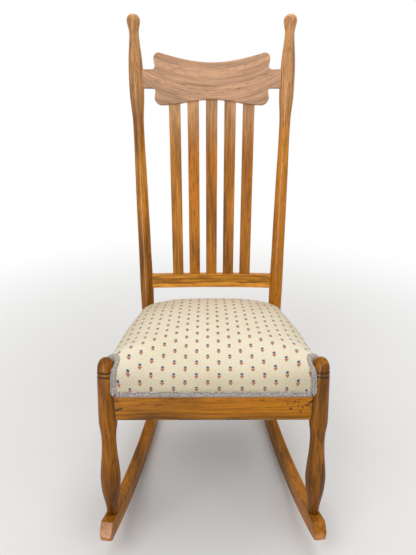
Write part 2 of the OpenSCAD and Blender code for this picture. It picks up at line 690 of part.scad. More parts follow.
// Dust cover: a thin cloth under the webbing, tacked to the rails beside the strips
dust_top = web_top - web_step - web_t - seat_gap;
dust_margin = rail_t / 4;
module dust_tack_places() {
    for (i = [-1.5, -0.5, 0.5, 1.5]) {
        for (y = [0, post_mid_y]) if (abs(i) < 1 || y == 0)
            translate([i * web_pitch_x, y, dust_top - dust_t]) children();
        for (side = [left, right]) let (y = web_y0 + i * web_pitch_y)
            translate([side * side_x(y), y, dust_top - dust_t]) children();
    }
}
module dust_cover() {
    front = -rail_t / 2 + dust_margin;
    rear = post_mid_y + rail_t / 2 - dust_margin;
    room = leg_d / 2 + seat_gap;
    color("dimgray") difference() {
        seat_frame() translate([0, 0, dust_top - dust_t]) linear_extrude(height = dust_t)
            polygon([for (p = [[1, front], [1, rear], [-1, rear], [-1, front]])
                [p[0] * (side_x(p[1]) + rail_t / 2 - dust_margin), p[1]]]);
        for (side = [left, right]) {
            leg_frame(side) translate([0, 0, dust_top - rail_t])
                cylinder(r = room, h = 2 * rail_t, $fn = turned_fn);
            post_frame(side) translate([0, 0, dust_top - rail_t])
                cylinder(r = room, h = 2 * rail_t, $fn = turned_fn);
        }
        seat_frame() dust_tack_places() tack_shank(fit_gap);
    }
}
module dust_cover_tacks() { color("black") seat_frame() dust_tack_places() tack(seat_gap / 2); }

// Cushion plan, in the seat's frame, from a gap over the rails' outer faces: straight along the rails,
// hollow round the legs and posts. Each point is [x, y, share of swell, lap].
leg_hole_x = leg_x - crown_h / 2 * tan(front_splay);
leg_hole_r = leg_r(0) + 3 * seat_gap;
post_hole_x = post_x;
post_hole_y = seat_depth + crown_h / 2 * tan(post_lean);
post_hole_r = post_r(0) + 3 * seat_gap;
side_slope = (leg_mid_x - post_mid_x) / post_mid_y;
function rail_x(y, g) = side_x(y) + (rail_t / 2 + g) / cos(side_angle);
front_n = 7;
corner_n = 5;
side_n = 8;
rear_n = 5;
// Where the side's line leaves a round hollow: the far root of a line and a circle
function cross_y(cx, cy, r, g, sign) = let (
    a = 1 + pow(side_slope, 2),
    d = rail_x(0, g) - cx,
    b = -2 * (cy + side_slope * d),
    c = cy * cy + d * d - r * r
) (-b + sign * sqrt(b * b - 4 * a * c)) / (2 * a);
function plan_right(g) = let (
    fy = -rail_t / 2 - g,
    ry = post_mid_y + rail_t / 2 + g,
    lr = leg_hole_r + cover_out - g,
    pr = post_hole_r + cover_out - g,
    fx = leg_hole_x - sqrt(lr * lr - fy * fy),
    sy = cross_y(leg_hole_x, 0, lr, g, 1),
    ty = cross_y(post_hole_x, post_hole_y, pr, g, -1),
    rx = post_hole_x - sqrt(pr * pr - pow(ry - post_hole_y, 2)),
    leg_from = 360 + atan2(fy, fx - leg_hole_x),
    leg_to = atan2(sy, rail_x(sy, g) - leg_hole_x),
    post_from = 360 + atan2(ty - post_hole_y, rail_x(ty, g) - post_hole_x),
    post_to = atan2(ry - post_hole_y, rx - post_hole_x)
) concat(
    [for (i = [0:front_n - 2]) [(fx - gimp_w) * i / (front_n - 2), fy, 0, 1]],
    [[fx, fy, 0, 1]],
    [for (i = [0:corner_n]) let (s = i == 0 ? 0.06 : i / corner_n, a = leg_from + (leg_to - leg_from) * s)
        [leg_hole_x + lr * cos(a), lr * sin(a), 0, 0]],
    [for (i = [0:side_n]) let (
        s = i / side_n,
        y = sy + (ty - sy) * (i == 0 ? 0.004 : i == side_n ? 0.996 : s)
    )
        [rail_x(y, g), y, sin(180 * min(s, 0.98)), 1]],
    [for (i = [0:corner_n]) let (
        s = i == 0 ? 0.06 : i == corner_n ? 0.94 : i / corner_n,
        a = post_from + (post_to - post_from) * s
    )
        [post_hole_x + pr * cos(a), post_hole_y + pr * sin(a), 0, 0]],
    [for (i = [0:rear_n - 1]) let (s = i / rear_n)
        [rx * (1 - s), ry, sin(90 * s) * rear_swell / side_swell, 1]]
);
// The whole plan: the right half from the front's middle to the rear's, and its mirror image back
function plan(g) = let (
    h = plan_right(g),
    rear = [0, h[len(h) - 1][1], rear_swell / side_swell, 1]
) concat(h, [rear], [for (i = [len(h) - 1:-1:1]) [-h[i][0], h[i][1], h[i][2], h[i][3]]]);

// Cushion surface: an oval dome whose rings go from the rails' outline to rounder forms at the crown.
// The powers say how square a ring is and how full the dome: at the crown, and at the rim towards the front,
// the rear and the sides. The corners add to that fullness.
front_square = 8;
rear_square = 4;
crown_square = 2.4;
crown_full = 2.3;
front_full = 2.25;
rear_full = 2.6;
side_full = 2.1;
front_corner_full = 2.1;
rear_corner_full = -0.6;
low_swell = swell_h / 5;
function ease(a, b, x) = let (t = min(max((x - a) / (b - a), 0), 1)) t * t * (3 - 2 * t);
function plan_middle(g) = let (fy = -rail_t / 2 - g, ry = post_mid_y + rail_t / 2 + g)
    [(fy + ry) / 2, (ry - fy) / 2];
// Where a place lies from the middle of the plan: its direction, and its share of the way to the outline
function heading(x, y, g) = let (
    c = plan_middle(g),
    ax = x / rail_x(y, g),
    by = (y - c[0]) / c[1],
    m = max(abs(ax), abs(by))
) [ax / m, by / m, m];
// 1 towards the front and the rear, 0 towards the sides
function ends(d) = pow(abs(d[1]), 6) / (pow(abs(d[0]), 6) + pow(abs(d[1]), 6));
function fullness(d) = let (e = ends(d), front = d[1] < 0)
    side_full + ((front ? front_full : rear_full) - side_full) * e
    + (front ? front_corner_full : rear_corner_full) * 4 * e * (1 - e);
// Height at which the cushion is widest
function widest(d) = d[1] < 0 ? swell_h + (low_swell - swell_h) * ends(d) : swell_h;
// How far out a ring of size s lies
function ring_out(d, s) = let (
    rim_square = front_square + (rear_square - front_square) * ease(0, 0.8, d[1]),
    square = crown_square + (rim_square - crown_square) * s * s,
    k = pow(pow(abs(d[0]), square) + pow(abs(d[1]), square), 1 / square),
    w = ease(0.5, 1, s)
) s * ((1 - w) / k + w);
function dome_height(d, s, g) = let (full = crown_full + (fullness(d) - crown_full) * s * s, low = widest(d))
    low + (crown_h + g - low) * pow(max(1 - pow(s, full), 0), 1 / full);
// A ring stops at a leg's or a post's hollow, whose wall stands upright until the dome has dropped inside it
function dome_point(p, g, phi) = let (
    c = plan_middle(g),
    d = heading(p[0], p[1], g),
    s = pow(cos(phi), 2 / crown_full),
    r = min(ring_out(d, s), d[2]),
    y = c[0] + d[1] * r * c[1],
    e = ends(d),
    out = p[2] * side_swell * s
) [d[0] * r * rail_x(y, g) + out * (1 - e) * sign(d[0]), y + out * e * sign(d[1]), dome_height(d, s, g)];
// Height of the dome over a place, from the size of the ring that runs through it, found by halving
function ring_size(d, a, b, steps) = let (m = (a + b) / 2)
    steps == 0 ? m : ring_out(d, m) > d[2] ? ring_size(d, a, m, steps - 1) : ring_size(d, m, b, steps - 1);
function surface_z(x, y, g) = let (d = heading(x, y, g)) dome_height(d, ring_size(d, 0, 1, 36), g);
// The lower part of the side, from the rail's edge out to where it swells most
function side_point(p, g, share) = let (
    q = dome_point(p, g, 0),
    low = 4 * seat_gap
) [
    p[0] + (q[0] - p[0]) * sin(90 * share),
    p[1] + (q[1] - p[1]) * sin(90 * share),
    low + (q[2] - low) * share
];
function rings(g, sides, phis) = let (outline = plan(g)) concat(
    [for (share = sides) [for (p = outline) side_point(p, g, share)]],
    [for (phi = phis) [for (p = outline) dome_point(p, g, phi)]]);
function crown(g) = [0, plan_middle(g)[0], crown_h + g];

// One closed mesh from rings of equal length, each joined to the next, with a point at each end.
// The slant says which way each four-sided face is halved, so that solids that lie together match.
module ring_solid(layers, first, last, slant = 0) {
    n = len(layers[0]);
    m = len(layers);
    points = concat([for (l = layers) for (p = l) p], [first, last]);
    polyhedron(points = points, faces = concat(
        [for (j = [0:m - 2]) for (i = [0:n - 1])
            [j * n + i, (j + 1) * n + i, (j + 1 - slant) * n + (i + 1) % n]],
        [for (j = [0:m - 2]) for (i = [0:n - 1])
            [(j + slant) * n + i, (j + 1) * n + (i + 1) % n, j * n + (i + 1) % n]],
        [for (i = [0:n - 1]) [n * m, i, (i + 1) % n]],
        [for (i = [0:n - 1]) [(m - 1) * n + i, n * m + 1, (m - 1) * n + (i + 1) % n]]
    ), convexity = 4);
}
outer_shares = [0, 0.5];
outer_phi_shares = [0, 0.1, 0.2, 0.3, 0.4, 0.5, 0.63, 0.77, 0.9];
inner_shares = [0];
inner_phi_shares = [0, 0.2, 0.5, 0.77];
function phis(shares) = [for (s = shares) 90 * s];
function lap_ring(g) = [for (p = plan(g)) [p[0], p[1], p[3] == 1 ? -cover_lap : seat_gap]];
cover_out = seat_gap + cover_t;
module seat_cover() {
    outer = concat([lap_ring(cover_out)], rings(cover_out, outer_shares, phis(outer_phi_shares)));
    inner = concat([lap_ring(seat_gap)], rings(seat_gap, inner_shares, phis(inner_phi_shares)));
    down = [for (i = [len(inner) - 1:-1:0]) inner[i]];
    color("beige") seat_frame() ring_solid(concat(down, outer), crown(seat_gap), crown(cover_out));
}
module stuffing() {
    base = [for (p = plan(0)) [p[0], p[1], seat_gap]];
    top = rings(0, inner_shares, phis(inner_phi_shares));
    under = [for (s = burlap_ring_shares) burlap_ring(s, burlap_t + seat_gap)];
    middle = burlap_point([0, web_y0], 0, burlap_t + seat_gap);
    color("linen") seat_frame() ring_solid(concat(under, [base], top), middle, crown(0), 1);
}
// Burlap: a low dome over the springs, whose edge lies on the rails
burlap_edge_share = 0.955;
function burlap_point(p, s, up) = [p[0] * s, web_y0 + (p[1] - web_y0) * s,
    seat_gap + up + burlap_h * pow(max(1 - pow(min(s / burlap_edge_share, 1), 2.4), 0), 0.8)];
function burlap_ring(s, up) = [for (p = plan(0)) burlap_point(p, s * burlap_edge_share, up)];
burlap_ring_shares = [0.3, 0.6, 0.84, 1];
module burlap() {
    bottom = [for (s = burlap_ring_shares) burlap_ring(s, 0)];
    top = [for (i = [len(bottom) - 1:-1:0]) burlap_ring(burlap_ring_shares[i], burlap_t)];
    layers = concat(bottom, top);
    middle = [0, web_y0];
    color("tan") seat_frame()
        ring_solid(layers, burlap_point(middle, 0, 0), burlap_point(middle, 0, burlap_t), 1);
}

// Seat springs: coils with a waist, one at each crossing of the webbing
spring_turns = 4;
turn_rings = 8;
tube_sides = 6;
function under_burlap(x, y) = let (s = max(abs(x) / rail_x(y, 0), abs(y - web_y0) / (web_y0 + rail_t / 2)))
    seat_gap + burlap_h * pow(max(1 - pow(min(s / burlap_edge_share, 1), 2.4), 0), 0.8);
function spring_top(x, y) = min([for (a = [0:30:330])
    under_burlap(x + spring_d / 2 * cos(a), y + spring_d / 2 * sin(a))]);
function spring_line(x, y, base, top, from) = [for (i = [0:spring_turns * turn_rings]) let (
    s = i / (spring_turns * turn_rings),
    a = from + 360 * s * spring_turns,
    r = (spring_d - wire_d) / 2 - (spring_d - spring_waist_d) / 2 * sin(180 * s),
    z = base + (top - base) * s
) [x + r * cos(a), y + r * sin(a), z]];
module tube(line, d) {
    n = len(line);
    rings = [for (i = [0:n - 1]) let (
        t = line[min(i + 1, n - 1)] - line[max(i - 1, 0)],
        u = t / norm(t),
        side = cross(u, [0, 0, 1]),
        v = side / norm(side),
        w = cross(v, u)
    ) [for (j = [0:tube_sides - 1]) let (a = 360 * j / tube_sides)
        line[i] + d / 2 * (v * cos(a) + w * sin(a))]];
    ring_solid(rings, line[0], line[n - 1]);
}
module seat_springs() {
    color("silver") seat_frame() for (i = [1:3]) for (j = [1:3]) let (
        x = web_x(i),
        y = web_y0 + web_y(j),
        base = web_top + seat_gap + wire_d / 2,
        top = spring_top(x, y) - seat_gap - wire_d / 2
    ) tube(spring_line(x, y, base, top, (i + j) % 2 == 0 ? 90 : 0), wire_d);
}
spring_pitch = (spring_top(web_pitch_x, web_y0) - web_top) / spring_turns;
echo(least_gap_between_curls = spring_pitch - wire_d);

// Gimp: flat braid over the cover's edges, on the rails and up beside the front legs
module gimp_strip(length) { translate([0, 0, -gimp_w]) cube([length, gimp_t, gimp_w]); }
gimp_face = cover_out + seat_gap + gimp_t;
gimp_end = leg_hole_x - sqrt(pow(leg_hole_r + seat_gap, 2) - pow(rail_t / 2 + gimp_face, 2));
module gimp_front() {
    y = -rail_t / 2 - gimp_face;
    color("thistle") seat_frame() difference() {
        translate([-gimp_end, y, 0]) gimp_strip(2 * gimp_end);
        gimp_tack_places() translate([0, 0, -over])
            cylinder(d = shank_d + 2 * fit_gap, h = gimp_t + 2 * over, $fn = small_fn);
    }
}
module gimp_rear() {
    y = post_mid_y + rail_t / 2 + gimp_face - gimp_t;
    x = post_hole_x - sqrt(pow(post_hole_r + seat_gap, 2) - pow(y + gimp_t - post_hole_y, 2)) - seat_gap;
    color("thistle") seat_frame() translate([-x, y, 0]) gimp_strip(2 * x);
}
module gimp_side(side) {
    off = rail_t / 2 + gimp_face;
    from = sqrt(pow(leg_hole_r + seat_gap, 2) - pow(off - gimp_t, 2)) + 2 * seat_gap + off * tan(side_angle);
    to = side_length - sqrt(pow(post_hole_r + seat_gap, 2) - pow(off - gimp_t, 2)) - 2 * seat_gap;
    color("thistle") seat_frame() scale_side(side) side_rail_frame(right)
        translate([from, -off, 0]) gimp_strip(to - from);
}
// The two tacks at the ends of the front gimp point to the rear, with the undersides of their heads on it
module gimp_tack_places() {
    for (side = [left, right])
        translate([side * (gimp_end - gimp_tack_in), -rail_t / 2 - gimp_face, -gimp_w / 2])
            rotate([-90, 0, 0]) children();
}
module gimp_tacks() {
    color("black") seat_frame() gimp_tack_places() translate([0, 0, -seat_gap / 2]) union() {
        translate([0, 0, -tack_h])
            cylinder(d1 = gimp_tack_d * 0.7, d2 = gimp_tack_d, h = tack_h, $fn = small_fn);
        translate([0, 0, -tack_h / 2]) cylinder(d = shank_d, h = gimp_t + tack_h / 2, $fn = small_fn);
    }
}
// The braid beside a front leg: up the cushion's front, round the leg on the cover, and down to the side. One
// edge keeps to the leg's hollow and the other lies a braid's width away, while the braid turns to the rear.
gimp_leg_n = 12;
gimp_low = 2.5 * seat_gap;
function across(a, b) = let (c = cross(a, b)) c / norm(c);
function gimp_leg_line(t) = let (
    e = plan_right(cover_out),
    from = e[front_n - 1],
    to = e[front_n + corner_n],
    end = e[front_n + corner_n + 1 + side_n],
    a = 360 + atan2(from[1], from[0] - leg_hole_x),
    b = atan2(to[1], to[0] - leg_hole_x),
    turn = a + (b - a) * t,
    edge = [leg_hole_x + (leg_hole_r + seat_gap) * cos(turn), (leg_hole_r + seat_gap) * sin(turn)],
    away = edge + gimp_w * (1 - 0.15 * sin(180 * t)) * [cos(180 - 90 * t), sin(180 - 90 * t)],
    y = max(away[1], from[1]),
    x = min(away[0], rail_x(y, cover_out)),
    swell = side_swell * sin(180 * max(y - to[1], 0) / (end[1] - to[1])),
    edge_y = max(edge[1], from[1])
) [[edge[0], edge_y, surface_z(edge[0], edge_y, cover_out)], [x + swell * t, y, surface_z(x, y, cover_out)]];
module gimp_leg(side) {
    line = [for (i = [0:gimp_leg_n]) gimp_leg_line((1 - cos(180 * i / gimp_leg_n)) / 2)];
    foot = [for (p = line[0]) [p[0], p[1], seat_gap]];
    tail = [for (p = line[gimp_leg_n]) [p[0], p[1], seat_gap]];
    way = concat([foot], line, [tail]);
    layers = [for (i = [0:gimp_leg_n + 2]) let (
        a = way[i][0],
        b = way[i][1],
        before = way[max(i - 1, 0)],
        after = way[min(i + 1, gimp_leg_n + 2)],
        out = across(after[0] + after[1] - before[0] - before[1], b - a)
    ) [a + out * gimp_low, b + out * gimp_low, b + out * (gimp_low + gimp_t), a + out * (gimp_low + gimp_t)]];
    first = (layers[0][0] + layers[0][1] + layers[0][2] + layers[0][3]) / 4;
    end = layers[gimp_leg_n + 2];
    last = (end[0] + end[1] + end[2] + end[3]) / 4;
    color("thistle") seat_frame() scale_side(side) ring_solid(layers, first, last);
}

front_leg(left);  // front_leg_left
front_leg(right);  // front_leg_right
back_post(left);  // back_post_left
back_post(right);  // back_post_right
rocker(left);  // rocker_left
rocker(right);  // rocker_right
rocker_pins();
front_seat_rail();
rear_seat_rail();
side_seat_rail(left);  // side_seat_rail_left
side_seat_rail(right);  // side_seat_rail_right
rail_plug();
corner_block(left, false);  // corner_block_front_left
corner_block(right, false);  // corner_block_front_right
corner_block(left, true);  // corner_block_rear_left
corner_block(right, true);  // corner_block_rear_right
corner_block_screws();
lower_back_rail();
crest_rail();
slat(1);  // slat_1
slat(2);  // slat_2
slat(3);  // slat_3
slat(4);  // slat_4
slat(5);  // slat_5
webbing_lengthwise();
webbing_crosswise();
webbing_tacks();
seat_springs();
burlap();
stuffing();
seat_cover();
gimp_front();
gimp_leg(left);  // gimp_leg_left
gimp_leg(right);  // gimp_leg_right
gimp_side(left);  // gimp_side_left
gimp_side(right);  // gimp_side_right
gimp_rear();
gimp_tacks();
dust_cover();
dust_cover_tacks();
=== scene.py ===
"""Looks of a turned oak rocking chair with a sprung seat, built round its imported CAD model."""
from functools import partial
import math

import bmesh
import bpy
import numpy as np
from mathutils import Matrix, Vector, kdtree


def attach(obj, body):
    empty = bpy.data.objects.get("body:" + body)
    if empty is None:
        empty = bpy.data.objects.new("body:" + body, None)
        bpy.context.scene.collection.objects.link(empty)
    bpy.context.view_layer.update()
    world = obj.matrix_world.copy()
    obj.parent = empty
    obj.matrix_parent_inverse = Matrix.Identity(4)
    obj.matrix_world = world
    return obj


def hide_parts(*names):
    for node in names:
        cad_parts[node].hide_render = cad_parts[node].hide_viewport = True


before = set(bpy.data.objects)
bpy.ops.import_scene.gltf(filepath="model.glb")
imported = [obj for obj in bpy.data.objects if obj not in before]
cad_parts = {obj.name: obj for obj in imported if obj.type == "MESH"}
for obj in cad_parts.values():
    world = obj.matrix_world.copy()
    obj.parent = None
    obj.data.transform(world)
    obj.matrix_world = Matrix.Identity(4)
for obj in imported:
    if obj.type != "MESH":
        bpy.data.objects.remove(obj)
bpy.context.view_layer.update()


def add_object(name, data, location=(0, 0, 0), rotation=(0, 0, 0)):
    """An object in the scene, its place in metres and its turns in radians."""
    thing = bpy.data.objects.new(name, data)
    thing.location, thing.rotation_euler = location, rotation
    bpy.context.scene.collection.objects.link(thing)
    return thing


# Camera: stands in front of the chair at shoulder height and looks down at it
CAMERA_PLACE, CAMERA_DOWN, CAMERA_TURN = (-0.0127, -0.8280, 0.9279), 25.5, -0.2
camera_data = bpy.data.cameras.new("camera")
camera_data.lens, camera_data.sensor_width = 25.95, 36.0
camera_data.clip_start, camera_data.clip_end = 0.02, 60.0
camera_facing = (math.radians(90 - CAMERA_DOWN), 0.0, math.radians(CAMERA_TURN))
bpy.context.scene.camera = add_object("camera", camera_data, CAMERA_PLACE, camera_facing)

# Sizes in millimetres, as in the part's source
LEFT, RIGHT = -1, 1
SIDES = ((LEFT, "left"), (RIGHT, "right"))
SEAT_TILT, LEG_SPLAY, POST_LEAN, POST_SPLAY = 8.2, 2.05, 0.9, 0.33
TAN_LEG, TAN_LEAN, TAN_POST = (math.tan(math.radians(a)) for a in (LEG_SPLAY, POST_LEAN, POST_SPLAY))
SEAT_ORIGIN = (0.0, -217.928, 398.520)
LEG_UNDER, LEG_OVER, LEG_DOME, LEG_D = 309.0, 66.4, 24.0, 41.0
POST_UNDER, POST_OVER, FINIAL_DOME, POST_D = 309.609, 740.0, 14.2, 34.7
SEAT_DEPTH, POST_X, FOOT_X = 360.5, 176.0, 218.7
LEG_X = FOOT_X - LEG_UNDER * TAN_LEG
RAIL_H, RAIL_T = 64.0, 21.0
RING_UP, RING_GAP, RING_DEEP, RING_HALF = 31.4, 8.9, 2.0, 1.5
CROWN, SIDE_SWELL, REAR_SWELL, SWELL_H = 74.0, 7.0, 5.0, 21.0
LOW_SWELL = SWELL_H / 5
SEAT_GAP, COVER_T, LAP, GIMP_W, GIMP_T = 0.3, 1.6, 11.0, 12.0, 1.8
COVER_OUT = SEAT_GAP + COVER_T
BURLAP_H, BURLAP_T, BURLAP_EDGE = 30.0, 1.2, 0.955
# Here legs and posts run a little down into the rockers
INTO_ROCKER = 3.0


def columns(*values):
    """Numbers and arrays of matching shapes side by side, as the columns of points."""
    return np.stack(np.broadcast_arrays(*values), -1)


def move(x, y, z):
    """Shift of a frame, as a 4 x 4 matrix."""
    m = np.eye(4)
    m[:3, 3] = x, y, z
    return m


def turn(axis, degrees):
    """Rotation about one axis of the frame, as a 4 x 4 matrix."""
    a = math.radians(degrees)
    i, j = [(1, 2), (2, 0), (0, 1)]["XYZ".index(axis)]
    m = np.eye(4)
    m[i, i], m[i, j], m[j, i], m[j, j] = math.cos(a), -math.sin(a), math.sin(a), math.cos(a)
    return m


SEAT = move(*SEAT_ORIGIN) @ turn("X", -SEAT_TILT)
BACK = SEAT @ move(0, SEAT_DEPTH, 0) @ turn("X", -POST_LEAN)
LEG = {s: SEAT @ move(s * LEG_X, 0, 0) @ turn("Y", -s * LEG_SPLAY) for s in (LEFT, RIGHT)}
POST = {s: BACK @ move(s * POST_X, 0, 0) @ turn("Y", s * POST_SPLAY) for s in (LEFT, RIGHT)}


def place(points, matrix):
    """Points in millimetres of one frame, brought to the chair's frame in metres."""
    return (np.asarray(points, float) @ matrix[:3, :3].T + matrix[:3, 3]) * 0.001


# Materials
def linear(text):
    """An sRGB colour, written in hex, as linear light."""
    c = np.array([int(text[i:i + 2], 16) for i in (1, 3, 5)]) / 255
    return tuple(np.where(c <= 0.04045, c / 12.92, ((c + 0.055) / 1.055) ** 2.4)) + (1.0,)


def feed(n, values):
    """Links or sets sockets of a node, each found by its name or its number."""
    for key, value in values.items():
        socket = n.inputs[key if isinstance(key, int) else key.replace("_", " ")]
        if isinstance(value, bpy.types.NodeSocket):
            n.id_data.links.new(value, socket)
        else:
            socket.default_value = value


# The setting that a second word in a node's kind is for
WAYS = {"Math": "operation", "VectorMath": "operation", "MapRange": "interpolation_type", "Mix": "blend_type"}
# Takes one range to another with soft ends: value, from, from, to, to
SOFT = "MapRange SMOOTHSTEP"


def add_node(tree, kind, *values, out=None, stops=(), **named):
    """Adds one shader node and gives one of its outputs, the first unless named. The kind may have a second
    word, and a word in capitals alone is an operation on numbers. Values go to the sockets in order, those of
    Mix to share, colour under and colour over. Named values go to the setting or the socket of that name.
    Stops are the (place, hex colour) pairs of a ramp."""
    kind, way = ("Math", kind) if kind.isupper() else (kind.split() + [None])[:2]
    n = tree.nodes.new("ShaderNode" + kind)
    order, result = range(len(values)), 0
    if kind == "Mix":
        n.data_type = "RGBA"
        order, result = (0, 6, 7), 2
    if way:
        setattr(n, WAYS[kind], way)
    while stops and len(n.color_ramp.elements) < len(stops):
        n.color_ramp.elements.new(0.5)
    for i, (at, colour) in enumerate(stops):
        n.color_ramp.elements[i].position, n.color_ramp.elements[i].color = at, linear(colour)
    for key in [key for key in named if hasattr(n, key)]:
        setattr(n, key, named.pop(key))
    feed(n, {**dict(zip(order, values)), **named})
    return n.outputs[result if out is None else out]


def new_material(name):
    """A material, a function that adds nodes to it, and its surface shader."""
    m = bpy.data.materials.new(name)
    m.use_nodes = True
    return m, partial(add_node, m.node_tree), m.node_tree.nodes["Principled BSDF"]


def per_metre(across, along):
    """Scale of a grain that is so many millimetres across and along."""
    return 1000 / across, 1000 / across, 1000 / along


# Grain directions: the turn that brings a piece's length onto the pattern's Z
GRAIN = {"up": (math.radians(SEAT_TILT), 0, 0), "side": (0, math.pi / 2, 0), "deep": (math.pi / 2, 0, 0)}
# Millimetres across and along the grain. Real pores are 0.3 mm wide, and real rings 3 mm apart, not the 19
# to 69 mm drawn here: all of it is drawn coarser, so that it shows from a step away.
WAVER_MM, STREAK_MM, PORE_MM, WAVER_SHIFT = (55.56, 294.1), (5.263, 111.1), (1.613, 23.81), 0.016
RING_SHARE, STREAK_SHARE, WAVER_SHARE = 0.42, 0.46, 0.72


def varnished_oak(name, grain, tones, seed=0.0, ring_mm=44.0, heart=(60.0, 30.0), cathedral=3.0, gloss=0.4,
                  coat=0.12, figure=1.0, arch=0.0, marks_and_highlights=(), lines=(), worn=()):
    """Golden oak, turned or planed, under an old varnish: rings, streaks and pores in three tones below a
    dull shine. The heart lies so many millimetres beside the piece and slants by cathedral degrees, which
    draws arches."""
    m, add, shader = new_material(name)
    where = add("TexCoord", out="Object")
    x, y, z = (add("SeparateXYZ", where, out=axis) for axis in "XYZ")
    # Where the grain runs in arcs across a board, its height is bent by the square of the width
    bent = add("CombineXYZ", x, y, add("SUBTRACT", z, add("MULTIPLY", add("MULTIPLY", x, x), arch)))
    turned = add("Mapping", bent, Rotation=GRAIN[grain])
    placed = add("Mapping", turned, Location=(seed * 0.37, seed * 0.61, seed * 1.3))
    waver, streak, pore = (
        add("TexNoise", add("Mapping", placed, Scale=per_metre(*mm)), Scale=1.0, Detail=detail,
            Roughness=rough)
        for mm, detail, rough in ((WAVER_MM, 3.0, 0.55), (STREAK_MM, 4.0, 0.65), (PORE_MM, 2.0, 0.6)))
    heart_at = add("Mapping", turned, Location=(heart[0] * 0.001, heart[1] * 0.001, seed * 0.2),
                   Rotation=(math.radians(cathedral), math.radians(cathedral * 0.6), 0))
    aside = (WAVER_SHIFT, WAVER_SHIFT, 0.0)
    moved = add("VectorMath MULTIPLY_ADD", waver.node.outputs["Color"], aside, heart_at)
    rings = add("TexWave", moved, wave_type="RINGS", rings_direction="Z", wave_profile="SAW", out="Fac",
                Scale=math.tau / 20 / (ring_mm * 0.001), Distortion=1.2, Detail=2.0, Detail_Scale=1.5)
    tone = add("MULTIPLY_ADD", rings, RING_SHARE * figure, add(SOFT, streak, 0.3, 0.7, 0.0, STREAK_SHARE))
    tone = add("ADD", tone, add(SOFT, waver, 0.3, 0.7, 0.0, WAVER_SHARE - RING_SHARE * figure))
    colour = add("ValToRGB", tone, stops=tuple(zip((0.24, 0.56, 0.9), tones)))
    for start, end, dark, pale, strength in worn:
        # Darker or paler along the height, in metres from start to end, over the same grain: painted shade
        # towards the joints below, a faded finish towards the top
        height_tone = add("ValToRGB", tone, stops=((0.24, dark), (0.9, pale)))
        colour = add("Mix MIX", add(SOFT, z, start, end, 0.0, strength), colour, height_tone)
    dashes = add("MULTIPLY", add(SOFT, pore, 0.56, 0.68), add(SOFT, rings, 0.35, 0.75, 0.45, 1.0))
    colour = add("Mix MULTIPLY", add("MULTIPLY", dashes, 0.62), colour, linear("#6b4524"))
    for spot, radius, strength, spot_colour in marks_and_highlights:
        # A soft spot at a place given in metres: an old mark in the wood, and on the toes a painted highlight
        # over some rubbed end grain
        away = add("VectorMath DISTANCE", where, spot, out="Value")
        colour = add("Mix MIX", add(SOFT, away, radius * 0.4, radius, strength, 0.0), colour, linear(spot_colour))
    for axis, offset, half_width, strength in lines:
        # Dirt and old staining in a groove or a joint, and painted shadow at a leg's foot where it meets the
        # rocker: a thin dark layer across an axis, at an offset in metres
        along = add("VectorMath DOT_PRODUCT", where, axis, out="Value")
        away = add("ABSOLUTE", add("SUBTRACT", along, offset))
        dark_band = add(SOFT, away, half_width * 0.4, half_width, strength, 0.0)
        colour = add("Mix MIX", dark_band, colour, linear("#35200e"))
    bump = add("Bump", Strength=0.35, Distance=0.0004, Height=add("MULTIPLY", dashes, -1.0))
    rough = add(SOFT, dashes, 0.0, 1.0, gloss, min(gloss + 0.3, 0.9))
    feed(shader, {"Base Color": colour, "Roughness": rough, "Coat Weight": coat, "Coat Roughness": 0.22,
                  "IOR": 1.48, "Specular IOR Level": 0.1, "Normal": bump})
    return m


# The sprig of the cloth, in millimetres: a dot over a heart, a V below and a notched line above
COLUMN_MM, ROW_MM = 21.9, 27.0
DOT_HALF_W, DOT_HALF_H, DOT_UP = 3.1, 2.4, 3.4
HEART_TIP, HEART_SLOPE, LOBE_AT, LOBE_TOP, LOBE_SLOPE = 5.7, 1.2, 1.9, 1.4, 0.8
# Threads drawn at 1.1 mm, coarser than the real half millimetre so that they show
THREAD_MM, SLUB_MM, MOTTLE_MM, SOIL_MM = 1.1023, 1.111, 3.030, 111.1
# Heights in metres of the painted shade low on the cloth
LOW_FRONT_SHADE = (0.405, 0.46)


